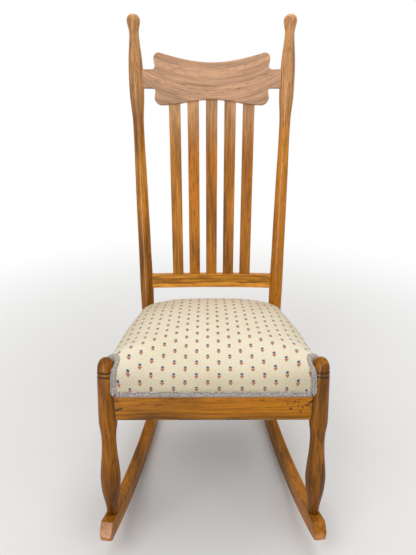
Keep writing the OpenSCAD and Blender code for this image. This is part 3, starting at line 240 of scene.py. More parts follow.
def printed_cotton(name):
    """Cream woven cotton, matt, printed with a small sprig in two colours: a blue dot over a rust heart, each
    column half a row below the last."""
    m, add, shader = new_material(name)
    at = add("UVMap", uv_map="cloth")
    across = add("DIVIDE", add("SeparateXYZ", at, out="X"), COLUMN_MM * 0.001)
    column = add("FLOOR", across)
    shift = add("MULTIPLY", add("PINGPONG", column, 1.0), 0.5)
    along = add("ADD", add("DIVIDE", add("SeparateXYZ", at, out="Y"), ROW_MM * 0.001), shift)
    side = add("MULTIPLY", add("SUBTRACT", add("SUBTRACT", across, column), 0.5), COLUMN_MM)
    side = add("ABSOLUTE", side)
    up = add("MULTIPLY", add("SUBTRACT", add("FRACT", along), 0.5), ROW_MM)
    over_dot = add("DIVIDE", add("SUBTRACT", up, DOT_UP), DOT_HALF_H)
    oval = add("CombineXYZ", add("DIVIDE", side, DOT_HALF_W), over_dot)
    dot = add(SOFT, add("VectorMath LENGTH", oval, out="Value"), 0.8, 1.15, 1.0, 0.0)
    over_v = add("SUBTRACT", up, add("SUBTRACT", add("MULTIPLY", side, HEART_SLOPE), HEART_TIP))
    notch = add("MULTIPLY", add("ABSOLUTE", add("SUBTRACT", side, LOBE_AT)), -LOBE_SLOPE)
    under_lobes = add("SUBTRACT", add("ADD", notch, LOBE_TOP), up)
    heart = add("MULTIPLY", add(SOFT, over_v, -0.4, 0.6), add(SOFT, under_lobes, -0.4, 0.6))
    weave = add("Mapping", at, Scale=(math.tau / (THREAD_MM * 0.001), math.tau / (THREAD_MM * 0.001), 1.0))
    thread = add("MULTIPLY", *(add("SINE", add("SeparateXYZ", weave, out=axis)) for axis in "XY"))
    slub = add("TexNoise", at, Scale=1000 / SLUB_MM, Detail=2.0)
    soil = add("TexNoise", at, Scale=1000 / SOIL_MM, Detail=3.0)
    mottle = add("TexNoise", at, Scale=1000 / MOTTLE_MM, Detail=2.0, Roughness=0.7)
    ground = add("Mix MIX", add(SOFT, soil, 0.35, 0.75, 0.0, 0.5), linear("#ebe3cd"), linear("#dfd3b6"))
    ground = add("Mix MULTIPLY", add(SOFT, slub, 0.4, 0.7, 0.0, 0.12), ground, linear("#cdbf9f"))
    ground = add("Mix MULTIPLY", add(SOFT, mottle, 0.35, 0.65, 0.0, 0.3), ground, linear("#d3c4a2"))
    # Painted shade: the cloth is darkened and warmed a little towards its lower edge, facing away from the
    # lamps, between two heights in metres
    height = add("SeparateXYZ", add("TexCoord", out="Object"), out="Z")
    ground = add("Mix MULTIPLY", add(SOFT, height, *LOW_FRONT_SHADE, 1.0, 0.0), ground, linear("#ebe6dc"))
    colour = add("Mix MIX", add("MULTIPLY", heart, 0.92), ground, linear("#a5502f"))
    colour = add("Mix MIX", add("MULTIPLY", dot, 0.95), colour, linear("#2d3a66"))
    bump = add("Bump", Strength=0.25, Distance=0.0003, Height=add("MULTIPLY_ADD", thread, 0.5, slub))
    feed(shader, {"Base Color": colour, "Roughness": 0.86, "Sheen Weight": 0.15, "Normal": bump})
    return m


# Ribs of the gimp in millimetres, wider than the real 1 mm ones, as on its mesh
RIB_MM, GROOVE_AT, FUZZ_MM, RUB_MM = 2.1, 3.6, 3.704, 26.32


def braid_cotton(name):
    """Grey-lilac gimp, matt, worn and a little fuzzy: ribs of fine thread across it, and a darker line along
    each half."""
    m, add, shader = new_material(name)
    at = add("UVMap", uv_map="cloth")
    rib = add("SINE", add("MULTIPLY", add("SeparateXYZ", at, out="X"), math.tau / (RIB_MM * 0.001)))
    off_middle = add("ABSOLUTE", add("SeparateXYZ", at, out="Y"))
    groove = add("ABSOLUTE", add("SUBTRACT", off_middle, GROOVE_AT * 0.001))
    groove = add(SOFT, groove, 0.0003, 0.0011, 0.16, 0.0)
    fuzz = add("TexNoise", at, Scale=1000 / FUZZ_MM, Detail=4.0, Roughness=0.65)
    rubbed = add("TexNoise", at, Scale=1000 / RUB_MM, Detail=2.0)
    tone = add("MULTIPLY_ADD", rib, 0.14, add(SOFT, fuzz, 0.3, 0.7, 0.0, 0.6))
    tone = add("SUBTRACT", add("MULTIPLY_ADD", rubbed, 0.2, tone), groove)
    colour = add("ValToRGB", tone, stops=((0.12, "#786e67"), (0.45, "#b0a69e"), (0.85, "#e4dcd5")))
    bump = add("Bump", Strength=0.6, Distance=0.0006, Height=tone)
    feed(shader, {"Base Color": colour, "Roughness": 0.9, "Sheen Weight": 0.25, "Normal": bump})
    return m


def woven(name, ground, shade, thread_mm):
    """Plain coarse cloth, such as jute webbing or burlap: warp over weft, dull, with an uneven yarn."""
    m, add, shader = new_material(name)
    at = add("TexCoord", out="Object")
    big = add("Mapping", at, Scale=(math.pi / (thread_mm * 0.001),) * 3)
    over = add("MULTIPLY", *(add("SINE", add("SeparateXYZ", big, out=axis)) for axis in "XY"))
    tone = add("MULTIPLY_ADD", over, 0.35, add("TexNoise", at, Scale=1000 / 2.5, Detail=3.0))
    colour = add("ValToRGB", tone, stops=((0.25, shade), (0.75, ground)))
    bump = add("Bump", Strength=0.6, Distance=0.0005, Height=tone)
    feed(shader, {"Base Color": colour, "Roughness": 0.92, "Normal": bump})
    return m


def metal(name, colour, rough, spots):
    """Drawn steel or blued iron, dull, with 4 mm specks where it has rusted."""
    m, add, shader = new_material(name)
    noise = add("TexNoise", add("TexCoord", out="Object"), Scale=1000 / 3.846, Detail=4.0)
    tone = add("ValToRGB", noise, stops=((0.35, colour), (0.72, spots)))
    rough = add(SOFT, noise, 0.3, 0.8, rough, rough + 0.25)
    feed(shader, {"Base Color": tone, "Metallic": 0.9, "Roughness": rough})
    return m


def leg_lines(s):
    """The two scribed rings of a leg and a painted shadow at its foot, where it meets the rocker, as
    (axis, offset, half width, strength).
    """
    axis = LEG[s][:3, 2]
    # The rings' dark lines, then the painted shadow at the foot
    marks = ((RING_UP, 0.0025, 0.92), (RING_UP + RING_GAP, 0.0025, 0.92), (1 - LEG_UNDER, 0.005, 0.6))
    return [(tuple(axis), float(axis @ (LEG[s] @ [0, 0, at, 1])[:3]) * 0.001, half_width, strength)
            for at, half_width, strength in marks]


# Dark, middle and pale tones of the turned woods and rockers
LEG_TONES = {LEFT: ("#5c3403", "#874f06", "#b06b0c"), RIGHT: ("#6c4007", "#995e0f", "#c0781b")}
POST_TONES = {LEFT: ("#7b4e18", "#b17226", "#dc9232"), RIGHT: ("#744915", "#a86c23", "#d58a2f")}
ROCKER_TONES = ("#71440a", "#9e6213", "#c2781f")
# Painted shade darker towards the joints below, and a faded finish paler at the top, along the height:
# (start, end, dark, pale, strength)
# Painted shade: the legs darker towards their feet
LEG_PAINTED_SHADE = [(0.3, 0.16, "#442402", "#7c4606", 0.8)]
# Painted shade down towards the seat, and a faded finish paler towards the finials
POST_SHADE_AND_FADE = [(0.78, 0.5, "#683c03", "#b16c0e", 0.7), (0.8, 0.94, "#a9825d", "#dab38e", 0.42)]
# A faded finish paler at the top, and painted shade darker down towards the seat
SLAT_SHADE_AND_FADE = [(0.74, 0.96, "#a77c55", "#e2b88f", 0.85), (0.7, 0.5, "#7c4804", "#c27a12", 0.5)]
# Toes painted pale: rubbed end grain with a painted highlight on the left, a painted highlight on the
# right: (place, radius, strength, colour)
TOE_RUB_AND_HIGHLIGHT = {LEFT: [((-0.2236, -0.310, 0.080), 0.026, 0.3, "#d8986a")],
            RIGHT: [((0.2236, -0.312, 0.074), 0.020, 0.55, "#cf9268")]}
leg_wood, post_wood, rocker_wood = {}, {}, {}
for s, word in SIDES:
    leg_wood[s] = varnished_oak(
        f"varnished_oak_leg_{word}", "up", LEG_TONES[s], seed=s * 1.7, ring_mm=56.58, heart=(s * -170, 190),
        cathedral=2.0, figure=0.6, lines=leg_lines(s), worn=LEG_PAINTED_SHADE)
    post_wood[s] = varnished_oak(
        f"varnished_oak_post_{word}", "up", POST_TONES[s], seed=s * 3.1, ring_mm=50.29, heart=(s * -160, 120),
        cathedral=1.4, figure=0.5, worn=POST_SHADE_AND_FADE)
    rocker_wood[s] = varnished_oak(
        f"varnished_oak_rocker_{word}", "deep", ROCKER_TONES, seed=s * 5.3, heart=(s * 30, 90), cathedral=2.2,
        gloss=0.36, coat=0.1, figure=0.5, marks_and_highlights=TOE_RUB_AND_HIGHLIGHT[s])

# Marks on the front rail's face, in millimetres from its top's middle: (x, z, radius, strength, colour)
HOLE, RUB, DENT = "#2e1a0a", "#5a3410", "#4a2c10"
RAIL_MARKS = [
    (144.4, -28.0, 2.6, 0.8, HOLE), (158.4, -23.8, 3.0, 0.8, HOLE), (165.4, -24.5, 2.4, 0.75, HOLE),
    (155.0, -28.7, 2.4, 0.75, HOLE), (165.5, -34.2, 2.6, 0.75, HOLE), (174.1, -37.4, 3.0, 0.8, HOLE),
    (170.5, -45.9, 3.2, 0.8, HOLE), (191.1, -37.5, 6.0, 0.5, RUB), (182.0, -31.5, 4.0, 0.75, HOLE),
    (186.6, -27.8, 4.0, 0.8, HOLE), (191.2, -24.1, 5.0, 0.8, HOLE), (195.0, -20.3, 6.0, 0.8, HOLE),
    (-188.8, -42.5, 5.0, 0.8, HOLE), (-184.6, -40.7, 3.4, 0.75, HOLE), (-180.6, -39.3, 4.4, 0.8, HOLE),
    (-189.0, -20.3, 8.0, 0.4, DENT)]
rail_marks = [(tuple(place([x, -RAIL_T / 2, z], SEAT)), radius * 0.001, strength, colour)
              for x, z, radius, strength, colour in RAIL_MARKS]
rail_ends = [((1, 0, 0), side * 0.1935, 0.0022, 0.8) for side in (LEFT, RIGHT)]
rail_wood = varnished_oak(
    "varnished_oak_front_rail", "side", ("#6c4106", "#9c600d", "#c67c14"), seed=0.6, ring_mm=56.58,
    heart=(260, 70), figure=0.75, cathedral=3.2, marks_and_highlights=rail_marks, lines=rail_ends)
side_rail_wood = varnished_oak(
    "varnished_oak_side_rails", "deep", ("#673f09", "#955d12", "#bd781a"), seed=2.2, ring_mm=56.58,
    heart=(120, 60), cathedral=2)
low_rail_wood = varnished_oak(
    "varnished_oak_back_rail", "side", ("#936019", "#d08a2a", "#fab04a"), seed=4.4, ring_mm=50.29,
    heart=(420, 90), cathedral=2.4)
crest_wood = varnished_oak(
    "varnished_oak_crest", "side", ("#9e7b60", "#c49979", "#dcad88"), seed=1.1, ring_mm=37.72,
    heart=(930, 30), cathedral=4.0, gloss=0.5, coat=0.05, figure=0.8, arch=1.5)
peg_wood = varnished_oak("end_grain_peg", "up", ("#5a3410", "#8a5824", "#a5723a"), seed=7.7, ring_mm=18.86)
block_wood = varnished_oak(
    "raw_softwood_block", "side", ("#9a7b4d", "#bd9d6a", "#d0b483"), seed=3.3, ring_mm=37.72, gloss=0.75,
    coat=0.0)
# The slats from left to right: (tones, ring spacing, slant of the heart, strength of the rings)
SLATS = [
    (("#744912", "#a76c1e", "#d48a29"), 56.58, 2, 0.45),
    (("#6c4006", "#a3620f", "#cb7b15"), 50.29, 3, 0.45),
    (("#6e4008", "#9f6011", "#c97a18"), 50.29, 2.6, 0.45),
    (("#774711", "#aa6a1c", "#d88626"), 56.58, 2, 0.45),
    (("#6e4209", "#9f6218", "#c97d20"), 69.15, 6, 1.3)]
slat_wood = [
    varnished_oak(f"varnished_oak_slat_{i + 1}", "up", tones, seed=i * 2.9, ring_mm=ring_mm, cathedral=slant,
                  heart=(-60 + 41 * i, 240 - 20 * i), figure=figure, worn=SLAT_SHADE_AND_FADE)
    for i, (tones, ring_mm, slant, figure) in enumerate(SLATS)]
cover_cloth = printed_cotton("printed_cotton_cover")
gimp_cloth = braid_cotton("braided_cotton_gimp")
jute = woven("jute_webbing", "#a58a5c", "#735c38", 2.4)
burlap_cloth = woven("jute_burlap", "#b29566", "#7d6540", 3.0)
dust_cloth = woven("black_cambric", "#2c2b2a", "#171616", 1.6)
tack_iron = metal("blued_tack_iron", "#1d1c1d", 0.45, "#3a2a20")
spring_steel = metal("spring_steel_wire", "#8d8a86", 0.35, "#6a4a34")
screw_steel = metal("screw_steel", "#7b7976", 0.4, "#5d4633")


# Mesh making
def finish_mesh(name, mesh, material, nodes, sharp=None):
    """A smooth object at the origin that rides on the chair and stands for the CAD nodes named. Edges bent by
    more than sharp degrees stay sharp."""
    mesh.shade_smooth()
    if sharp is not None:
        mesh.set_sharp_from_angle(angle=math.radians(sharp))
    mesh.materials.clear()
    mesh.materials.append(material)
    thing = add_object(name, mesh)
    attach(thing, "root")
    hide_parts(*nodes)
    return thing


def ring_mesh(name, rows, first, last, matrix=SEAT, uv=None):
    """A closed skin from rings of equal length, in millimetres of one frame: quads between neighbouring
    rings, a fan of triangles at each end, and all faces turned outwards."""
    m, n = rows.shape[:2]
    i = np.arange(n)
    k = (i + 1) % n
    row = np.arange(m - 1)[:, None] * n
    quads = np.stack([row + i, row + k, row + n + k, row + n + i], -1).reshape(-1, 4)
    start = np.stack([np.full(n, m * n), k, i], -1)
    end = np.stack([np.full(n, m * n + 1), (m - 1) * n + i, (m - 1) * n + k], -1)
    points = place(np.concatenate([rows.reshape(-1, 3), [first, last]]), matrix)
    mesh = bpy.data.meshes.new(name)
    mesh.from_pydata(points.tolist(), [], quads.tolist() + start.tolist() + end.tolist())
    if uv is not None:
        corner = np.zeros(len(mesh.loops), np.int32)
        mesh.loops.foreach_get("vertex_index", corner)
        mesh.uv_layers.new(name="cloth").data.foreach_set("uv", uv[corner].astype(np.float32).ravel())
    mesh.validate()
    bm = bmesh.new()
    bm.from_mesh(mesh)
    bmesh.ops.recalc_face_normals(bm, faces=bm.faces)
    bm.to_mesh(mesh)
    bm.free()
    return mesh


def smooth(table, u):
    """Value of a table of (place, value) at u, by cubic pieces whose slope at a point is that between its
    neighbours."""
    t = np.asarray(table, float)
    slope = np.empty(len(t))
    slope[1:-1] = (t[2:, 1] - t[:-2, 1]) / (t[2:, 0] - t[:-2, 0])
    slope[0] = (t[1, 1] - t[0, 1]) / (t[1, 0] - t[0, 0])
    slope[-1] = (t[-1, 1] - t[-2, 1]) / (t[-1, 0] - t[-2, 0])
    i = np.clip(np.searchsorted(t[:, 0], u, side="right") - 1, 0, len(t) - 2)
    h = t[i + 1, 0] - t[i, 0]
    s = (u - t[i, 0]) / h
    return (t[i, 1] * (1 + 2 * s) * (1 - s) ** 2 + t[i + 1, 1] * s * s * (3 - 2 * s)
            + h * slope[i] * s * (1 - s) ** 2 - h * slope[i + 1] * s * s * (1 - s))


# Turned pieces: share of the length from below, and share of the greatest radius there
LEG_SHARES = [
    (-0.03, 0.537), (0.025, 0.544), (0.05, 0.572), (0.0756, 0.637), (0.118, 0.764), (0.161, 0.891),
    (0.219, 0.981), (0.262, 1), (0.302, 0.963), (0.355, 0.884), (0.403, 0.794), (0.451, 0.741),
    (0.491, 0.72), (0.526, 0.722), (0.567, 0.778), (0.597, 0.856), (0.63, 0.892), (0.69, 0.889),
    (0.76, 0.87), (0.84, 0.842), (0.93, 0.805), (0.96, 0.79)]
POST_SHARES = [
    (-0.02, 0.635), (0.018, 0.66), (0.045, 0.86), (0.07, 1.02), (0.094, 1.07), (0.12, 1), (0.15, 0.88),
    (0.178, 0.835), (0.2, 0.86), (0.22, 0.93), (0.245, 0.965), (0.295, 0.985), (0.345, 0.995),
    (0.375, 1.01), (0.41, 0.985), (0.44, 0.965), (0.47, 0.935), (0.55, 0.905), (0.6, 0.875),
    (0.65, 0.84), (0.685, 0.805), (0.72, 0.768), (0.745, 0.755), (0.77, 0.757), (0.787, 0.775),
    (0.807, 0.857), (0.827, 0.953), (0.845, 0.995), (0.861, 1), (0.877, 0.992), (0.89, 0.975),
    (0.9015, 0.945), (0.914, 0.896), (0.926, 0.828), (0.938, 0.745), (0.95, 0.68), (0.961, 0.636),
    (0.9694, 0.67), (0.975, 0.745), (0.98, 0.816), (0.985, 0.87)]
LEG_LENGTH = LEG_UNDER / math.cos(math.radians(LEG_SPLAY)) + LEG_OVER
POST_LENGTH = POST_UNDER / math.cos(math.radians(POST_SPLAY)) + POST_OVER


def leg_r(z):
    """Radius of a leg at a height over the rails' tops, by its table."""
    return LEG_D / 2 * smooth(LEG_SHARES, (np.asarray(z, float) + LEG_LENGTH - LEG_OVER) / LEG_LENGTH)


def post_r(z):
    """Radius of a post at a height over the rails' tops, by its table."""
    return POST_D / 2 * smooth(POST_SHARES, (np.asarray(z, float) + POST_LENGTH - POST_OVER) / POST_LENGTH)


def turning(name, radius, low, top, dome_h, matrix, rings=()):
    """A lathe-turned spindle: radius(z) carried round the axis, less a round groove at each scribed ring,
    closed above by a quarter of an oval that is a little fuller than an ellipse."""
    z = np.linspace(low, top - dome_h, 420)
    r = radius(z)
    for at in rings:
        r = r - RING_DEEP * np.exp(-((z - at) / RING_HALF) ** 2)
    a = np.linspace(0, math.pi / 2, 14)[1:-1]
    z = np.concatenate([z, top - dome_h + dome_h * np.sin(a)])
    r = np.concatenate([r, r[-1] * np.cos(a) ** 0.9])
    t = np.arange(72) * math.tau / 72
    rows = columns(r[:, None] * np.cos(t), r[:, None] * np.sin(t), z[:, None])
    return ring_mesh(name, rows, [0, 0, low], [0, 0, top], matrix)


for s, word in SIDES:
    leg = turning(f"turned_leg_{word}", leg_r, -LEG_UNDER - INTO_ROCKER, LEG_OVER, LEG_DOME, LEG[s],
                  (RING_UP, RING_UP + RING_GAP))
    finish_mesh(f"turned_leg_{word}", leg, leg_wood[s], [f"front_leg_{word}"])
    post = turning(f"turned_post_{word}", post_r, -POST_UNDER - INTO_ROCKER, POST_OVER, FINIAL_DOME, POST[s])
    finish_mesh(f"turned_post_{word}", post, post_wood[s], [f"back_post_{word}"])

# Boards: points closer than this many metres are one, faces within this angle are one, and edges bent by more
# than the last angle are eased
SAME_POINT, SAME_FACE, EASED_EDGE = 2e-6, math.radians(0.05), math.radians(40)


def eased(name, cad_node, edge_mm, material):
    """A board from its CAD solid, its corners eased by so many millimetres, as by sandpaper."""
    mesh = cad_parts[cad_node].data.copy()
    mesh.name = name
    bm = bmesh.new()
    bm.from_mesh(mesh)
    bmesh.ops.remove_doubles(bm, verts=bm.verts, dist=SAME_POINT)
    bmesh.ops.dissolve_limit(bm, angle_limit=SAME_FACE, verts=bm.verts, edges=bm.edges)
    bm.to_mesh(mesh)
    bm.free()
    thing = finish_mesh(name, mesh, material, [cad_node], sharp=30)
    bevel = thing.modifiers.new("eased", "BEVEL")
    bevel.width, bevel.segments, bevel.limit_method = edge_mm * 0.001, 2, "ANGLE"
    bevel.angle_limit, bevel.use_clamp_overlap, bevel.harden_normals = EASED_EDGE, False, True


for s, word in SIDES:
    eased(f"rocker_board_{word}", f"rocker_{word}", 1.2, rocker_wood[s])
    eased(f"side_rail_board_{word}", f"side_seat_rail_{word}", 0.8, side_rail_wood)
eased("front_rail_board", "front_seat_rail", 0.8, rail_wood)
eased("rear_rail_board", "rear_seat_rail", 0.8, side_rail_wood)
eased("low_rail_board", "lower_back_rail", 0.9, low_rail_wood)
eased("crest_board", "crest_rail", 1.2, crest_wood)
for i, wood in enumerate(slat_wood, 1):
    eased(f"slat_board_{i}", f"slat_{i}", 0.9, wood)

# CAD nodes that stay as they are, with their finish
KEPT = {"rocker_pins": peg_wood, "rail_plug": peg_wood, "corner_block_screws": screw_steel,
        "webbing_tacks": tack_iron, "dust_cover_tacks": tack_iron, "gimp_tacks": tack_iron}
KEPT.update({f"corner_block_{end}_{word}": block_wood for end in ("front", "rear") for _, word in SIDES})
for name, material in KEPT.items():
    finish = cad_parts[name].data.materials
    finish.clear()
    finish.append(material)

# Seat plan and cushion surface, by the same formulas as in the part's source
LEG_MID_X = LEG_X + RAIL_H / 2 * TAN_LEG
POST_MID_X = POST_X - RAIL_H / 2 * TAN_POST
POST_MID_Y = SEAT_DEPTH - RAIL_H / 2 * TAN_LEAN
SIDE_SLOPE = (LEG_MID_X - POST_MID_X) / POST_MID_Y
SIDE_ANGLE = math.atan(SIDE_SLOPE)
LEG_HOLE_X = LEG_X - CROWN / 2 * TAN_LEG
POST_HOLE_Y = SEAT_DEPTH + CROWN / 2 * TAN_LEAN
LEG_HOLE_R, POST_HOLE_R = float(leg_r(0.0)) + 3 * SEAT_GAP, float(post_r(0.0)) + 3 * SEAT_GAP
WEB_MID_Y = POST_MID_Y / 2
# Points of half the outline along each of its parts
PLAN_COUNTS = {"front": 54, "leg": 26, "side": 50, "post": 24, "rear": 44}
# How square a ring of the dome is at the front, the rear and near the crown, and how full the dome is at the
# crown and at the rim towards each side
FRONT_SQUARE, REAR_SQUARE, CROWN_SQUARE, RIM_SQUARE = 8.0, 4.0, 2.4, 18
CROWN_FULL, FRONT_FULL, REAR_FULL, SIDE_FULL = 2.3, 2.25, 2.6, 2.1
FRONT_CORNER_FULL, REAR_CORNER_FULL = 2.1, -0.6


def ease(a, b, x):
    """0 before a and 1 past b, with a cubic step between."""
    t = np.clip((x - a) / (b - a), 0, 1)
    return t * t * (3 - 2 * t)


def side_x(y):
    """The side rail's middle line: straight from the leg's middle to the post's."""
    return LEG_MID_X - SIDE_SLOPE * y


def rail_x(y, g):
    """The line that lies g outside the side rail's outer face."""
    return side_x(y) + (RAIL_T / 2 + g) / math.cos(SIDE_ANGLE)


def rail_y(g):
    """The lines that lie g outside the outer faces of the front rail and the rear rail."""
    return -RAIL_T / 2 - g, POST_MID_Y + RAIL_T / 2 + g


def plan_middle(g):
    """Middle of the cushion's depth, and half the depth."""
    front_y, rear_y = rail_y(g)
    return (front_y + rear_y) / 2, (rear_y - front_y) / 2


def heading(x, y, g):
    """Direction of places from the plan's middle, and their share of the way to the outline at the rails."""
    cy, hy = plan_middle(g)
    ax, by = x / rail_x(y, g), (y - cy) / hy
    m = np.maximum(np.maximum(np.abs(ax), np.abs(by)), 1e-9)
    return ax / m, by / m, m


def cross_y(cx, cy, r, g, sign):
    """Where the side's line meets a round hollow: a root of the line in the circle's equation."""
    a, d = 1 + SIDE_SLOPE ** 2, rail_x(0, g) - cx
    b, c = -2 * (cy + SIDE_SLOPE * d), cy * cy + d * d - r * r
    return (-b + sign * math.sqrt(b * b - 4 * a * c)) / (2 * a)


def plan_right(g):
    """Right half of the cushion's outline at the rails, from the front's middle to the rear's, as columns x,
    y, swell share, lap share: straight along the rails, hollow round the leg and the post."""
    front_y, rear_y = rail_y(g)
    leg_hole, post_hole = LEG_HOLE_R + COVER_OUT - g, POST_HOLE_R + COVER_OUT - g
    front_x = LEG_HOLE_X - math.sqrt(leg_hole ** 2 - front_y ** 2)
    rear_x = POST_X - math.sqrt(post_hole ** 2 - (rear_y - POST_HOLE_Y) ** 2)
    side_from = cross_y(LEG_HOLE_X, 0, leg_hole, g, 1)
    side_to = cross_y(POST_X, POST_HOLE_Y, post_hole, g, -1)
    leg_from = math.tau + math.atan2(front_y, front_x - LEG_HOLE_X)
    leg_to = math.atan2(side_from, rail_x(side_from, g) - LEG_HOLE_X)
    post_from = math.tau + math.atan2(side_to - POST_HOLE_Y, rail_x(side_to, g) - POST_X)
    post_to = math.atan2(rear_y - POST_HOLE_Y, rear_x - POST_X)
    share = {word: np.linspace(0, 1, n + 1)[1:] for word, n in PLAN_COUNTS.items()}
    a = leg_from + (leg_to - leg_from) * share["leg"]
    b = post_from + (post_to - post_from) * share["post"]
    y = side_from + (side_to - side_from) * share["side"]
    rear = share["rear"]
    half = np.concatenate([
        columns(front_x * np.linspace(0, 1, PLAN_COUNTS["front"]), front_y, 0, 1),
        columns(LEG_HOLE_X + leg_hole * np.cos(a), leg_hole * np.sin(a), 0, 0),
        columns(rail_x(y, g), y, np.sin(math.pi * np.minimum(share["side"], 0.98)), 1),
        columns(POST_X + post_hole * np.cos(b), POST_HOLE_Y + post_hole * np.sin(b), 0, 0),
        columns(rear_x * (1 - rear), rear_y, np.sin(math.pi / 2 * rear) * REAR_SWELL / SIDE_SWELL, 1)])
    # Seen from the plan's middle the outline turns one way only, so that no two columns of the dome cross
    ux, uy, m = heading(half[:, 0], half[:, 1], g)
    step = 3e-5 * np.arange(len(half))
    angle = np.minimum(np.maximum.accumulate(np.arctan2(uy, ux) - step) + step, math.pi / 2)
    ux, uy = np.cos(angle), np.sin(angle)
    longest = np.maximum(np.abs(ux), np.abs(uy))
    cy, hy = plan_middle(g)
    half[:, 1] = cy + uy / longest * m * hy
    half[:, 0] = ux / longest * m * rail_x(half[:, 1], g)
    return half


def plan(g):
    """The whole outline: the right half and its mirror image back."""
    half = plan_right(g)
    return np.concatenate([half, half[-2:0:-1] * [-1, 1, 1, 1]])


def ends(ux, uy):
    """1 towards the front and the rear, 0 towards the sides, by the sixth powers of the two parts."""
    return uy ** 6 / (ux ** 6 + uy ** 6 + 1e-12)


def ring_out(ux, uy, s):
    """How far out a ring of size s lies: an oval of powers near the crown, almost the rails' outline at the
    rim."""
    rim_square = FRONT_SQUARE + (REAR_SQUARE - FRONT_SQUARE) * ease(0, 0.8, uy)
    square = CROWN_SQUARE + (rim_square - CROWN_SQUARE) * s * s
    k = (np.abs(ux) ** square + np.abs(uy) ** square) ** (1 / square)
    rim = (np.abs(ux) ** RIM_SQUARE + np.abs(uy) ** RIM_SQUARE) ** (1 / RIM_SQUARE)
    w = ease(0.5, 1, s)
    return s * ((1 - w) / k + w / rim)


def dome_curve(low, rim_full, s, g):
    """Height of the dome over a ring of size s: one less a power of s, to the root of that power, over the
    widest place. The power runs from the crown's to the rim's with the square of s."""
    full = CROWN_FULL + (rim_full - CROWN_FULL) * s * s
    return low + (CROWN + g - low) * np.maximum(1 - s ** full, 0) ** (1 / full)


def dome_height(ux, uy, s, g):
    """Height over a ring of size s, its rim's fullness and its lowest place as they are in that direction."""
    e = ends(ux, uy)
    rim = SIDE_FULL + (np.where(uy < 0, FRONT_FULL, REAR_FULL) - SIDE_FULL) * e
    rim = rim + np.where(uy < 0, FRONT_CORNER_FULL, REAR_CORNER_FULL) * 4 * e * (1 - e)
    return dome_curve(np.where(uy < 0, SWELL_H + (LOW_SWELL - SWELL_H) * e, SWELL_H), rim, s, g)


def dome_point(p, g, phi):
    """A point of the crowned top over the outline point p. The ring's size is a power of cos(phi), and a ring
    stops at a leg's or a post's hollow, whose wall stands upright until the dome has dropped inside it."""
    cy, hy = plan_middle(g)
    ux, uy, m = heading(p[..., 0], p[..., 1], g)
    s = np.cos(phi) ** (2 / CROWN_FULL) + 0 * m
    r = np.minimum(ring_out(ux, uy, s), m)
    y = cy + uy * r * hy
    e = ends(ux, uy)
    out = p[..., 2] * SIDE_SWELL * s
    x = ux * r * rail_x(y, g) + out * (1 - e) * np.sign(ux)
    return columns(x, y + out * e * np.sign(uy), dome_height(ux, uy, s, g))


def surface_z(x, y, g):
    """Height of the dome over a place, from the size of the ring that runs through it, found by halving."""
    ux, uy, m = heading(x, y, g)
    low, high = 0 * m, 0 * m + 1
    for _ in range(36):
        half = (low + high) / 2
        big = ring_out(ux, uy, half) > m
        low, high = np.where(big, low, half), np.where(big, half, high)
    return dome_height(ux, uy, (low + high) / 2, g)


def side_point(p, g, share):
    """A point below the swell: from the outline at the rails out to where the side swells most, by a sine."""
    q = dome_point(p, g, 0.0)
    low = 4 * SEAT_GAP
    t = np.sin(math.pi / 2 * share)
    return columns(p[..., 0] + (q[..., 0] - p[..., 0]) * t, p[..., 1] + (q[..., 1] - p[..., 1]) * t,
                   low + (q[..., 2] - low) * share)


def cushion_rows(g, sides, phis):
    """Rings of the cushion's side at some shares of its height, then of its top at some angles."""
    outline = plan(g)
    return np.array([side_point(outline, g, s) for s in sides] + [dome_point(outline, g, f) for f in phis])


def burlap_z(s):
    """Height of the burlap's dome at a share of the way from its middle to its edge."""
    return SEAT_GAP + BURLAP_H * np.maximum(1 - np.minimum(s / BURLAP_EDGE, 1) ** 2.4, 0) ** 0.8


def cloth_uv(points, g):
    """Place on the cloth of each point, in metres: its distance across and along, plus what the cloth
    gains in going down the front, the rear and the sides, found from the height under the crown."""
    cy, hy = plan_middle(g)
    x, y, z = points.T
    ux, uy, _ = heading(x, y, g)
    e = ends(ux, uy)
    s = np.linspace(1, 0, 1500)
    gains = []
    for rim, width, low in ((FRONT_FULL, hy, LOW_SWELL), (REAR_FULL, hy, SWELL_H),
                            (SIDE_FULL, side_x(cy), SWELL_H)):
        h = dome_curve(low, rim, s, g)
        step = np.hypot(np.diff(s) * width, np.diff(h)) - np.abs(np.diff(s)) * width
        gain = np.concatenate([[0], np.cumsum(step[::-1])])[::-1]
        gains.append(np.interp(z, h, gain) + np.maximum(low - z, 0))
    front, rear, flank = gains
    return columns(x + np.sign(x) * flank * (1 - e), y + np.where(uy < 0, -front, rear) * e) * 0.001


# The pad's simulation: mesh size and pinned height in metres, pressure, frames, and the longest movement in
# millimetres, of which a share is used
PAD_VOXEL, PAD_PINNED, PAD_PRESSURE, PAD_FRAMES, PAD_MOVE, PAD_SHARE = 0.006, 0.006, 4.0, 20, 4.0, 0.6
# Pulls in the cloth at legs and posts: (x, y, number round it, start angle), and their height in millimetres
FOLDS = ((LEG_HOLE_X, 0, 17, 0.4), (-LEG_HOLE_X, 0, 17, 1.9),
         (POST_X, POST_HOLE_Y, 13, 0.9), (-POST_X, POST_HOLE_Y, 13, 2.6))
FOLD_UP = 0.8


def coordinates(mesh):
    """Places of a mesh's points, one row each."""
    flat = np.zeros(len(mesh.vertices) * 3)
    mesh.vertices.foreach_get("co", flat)
    return flat.reshape(-1, 3)


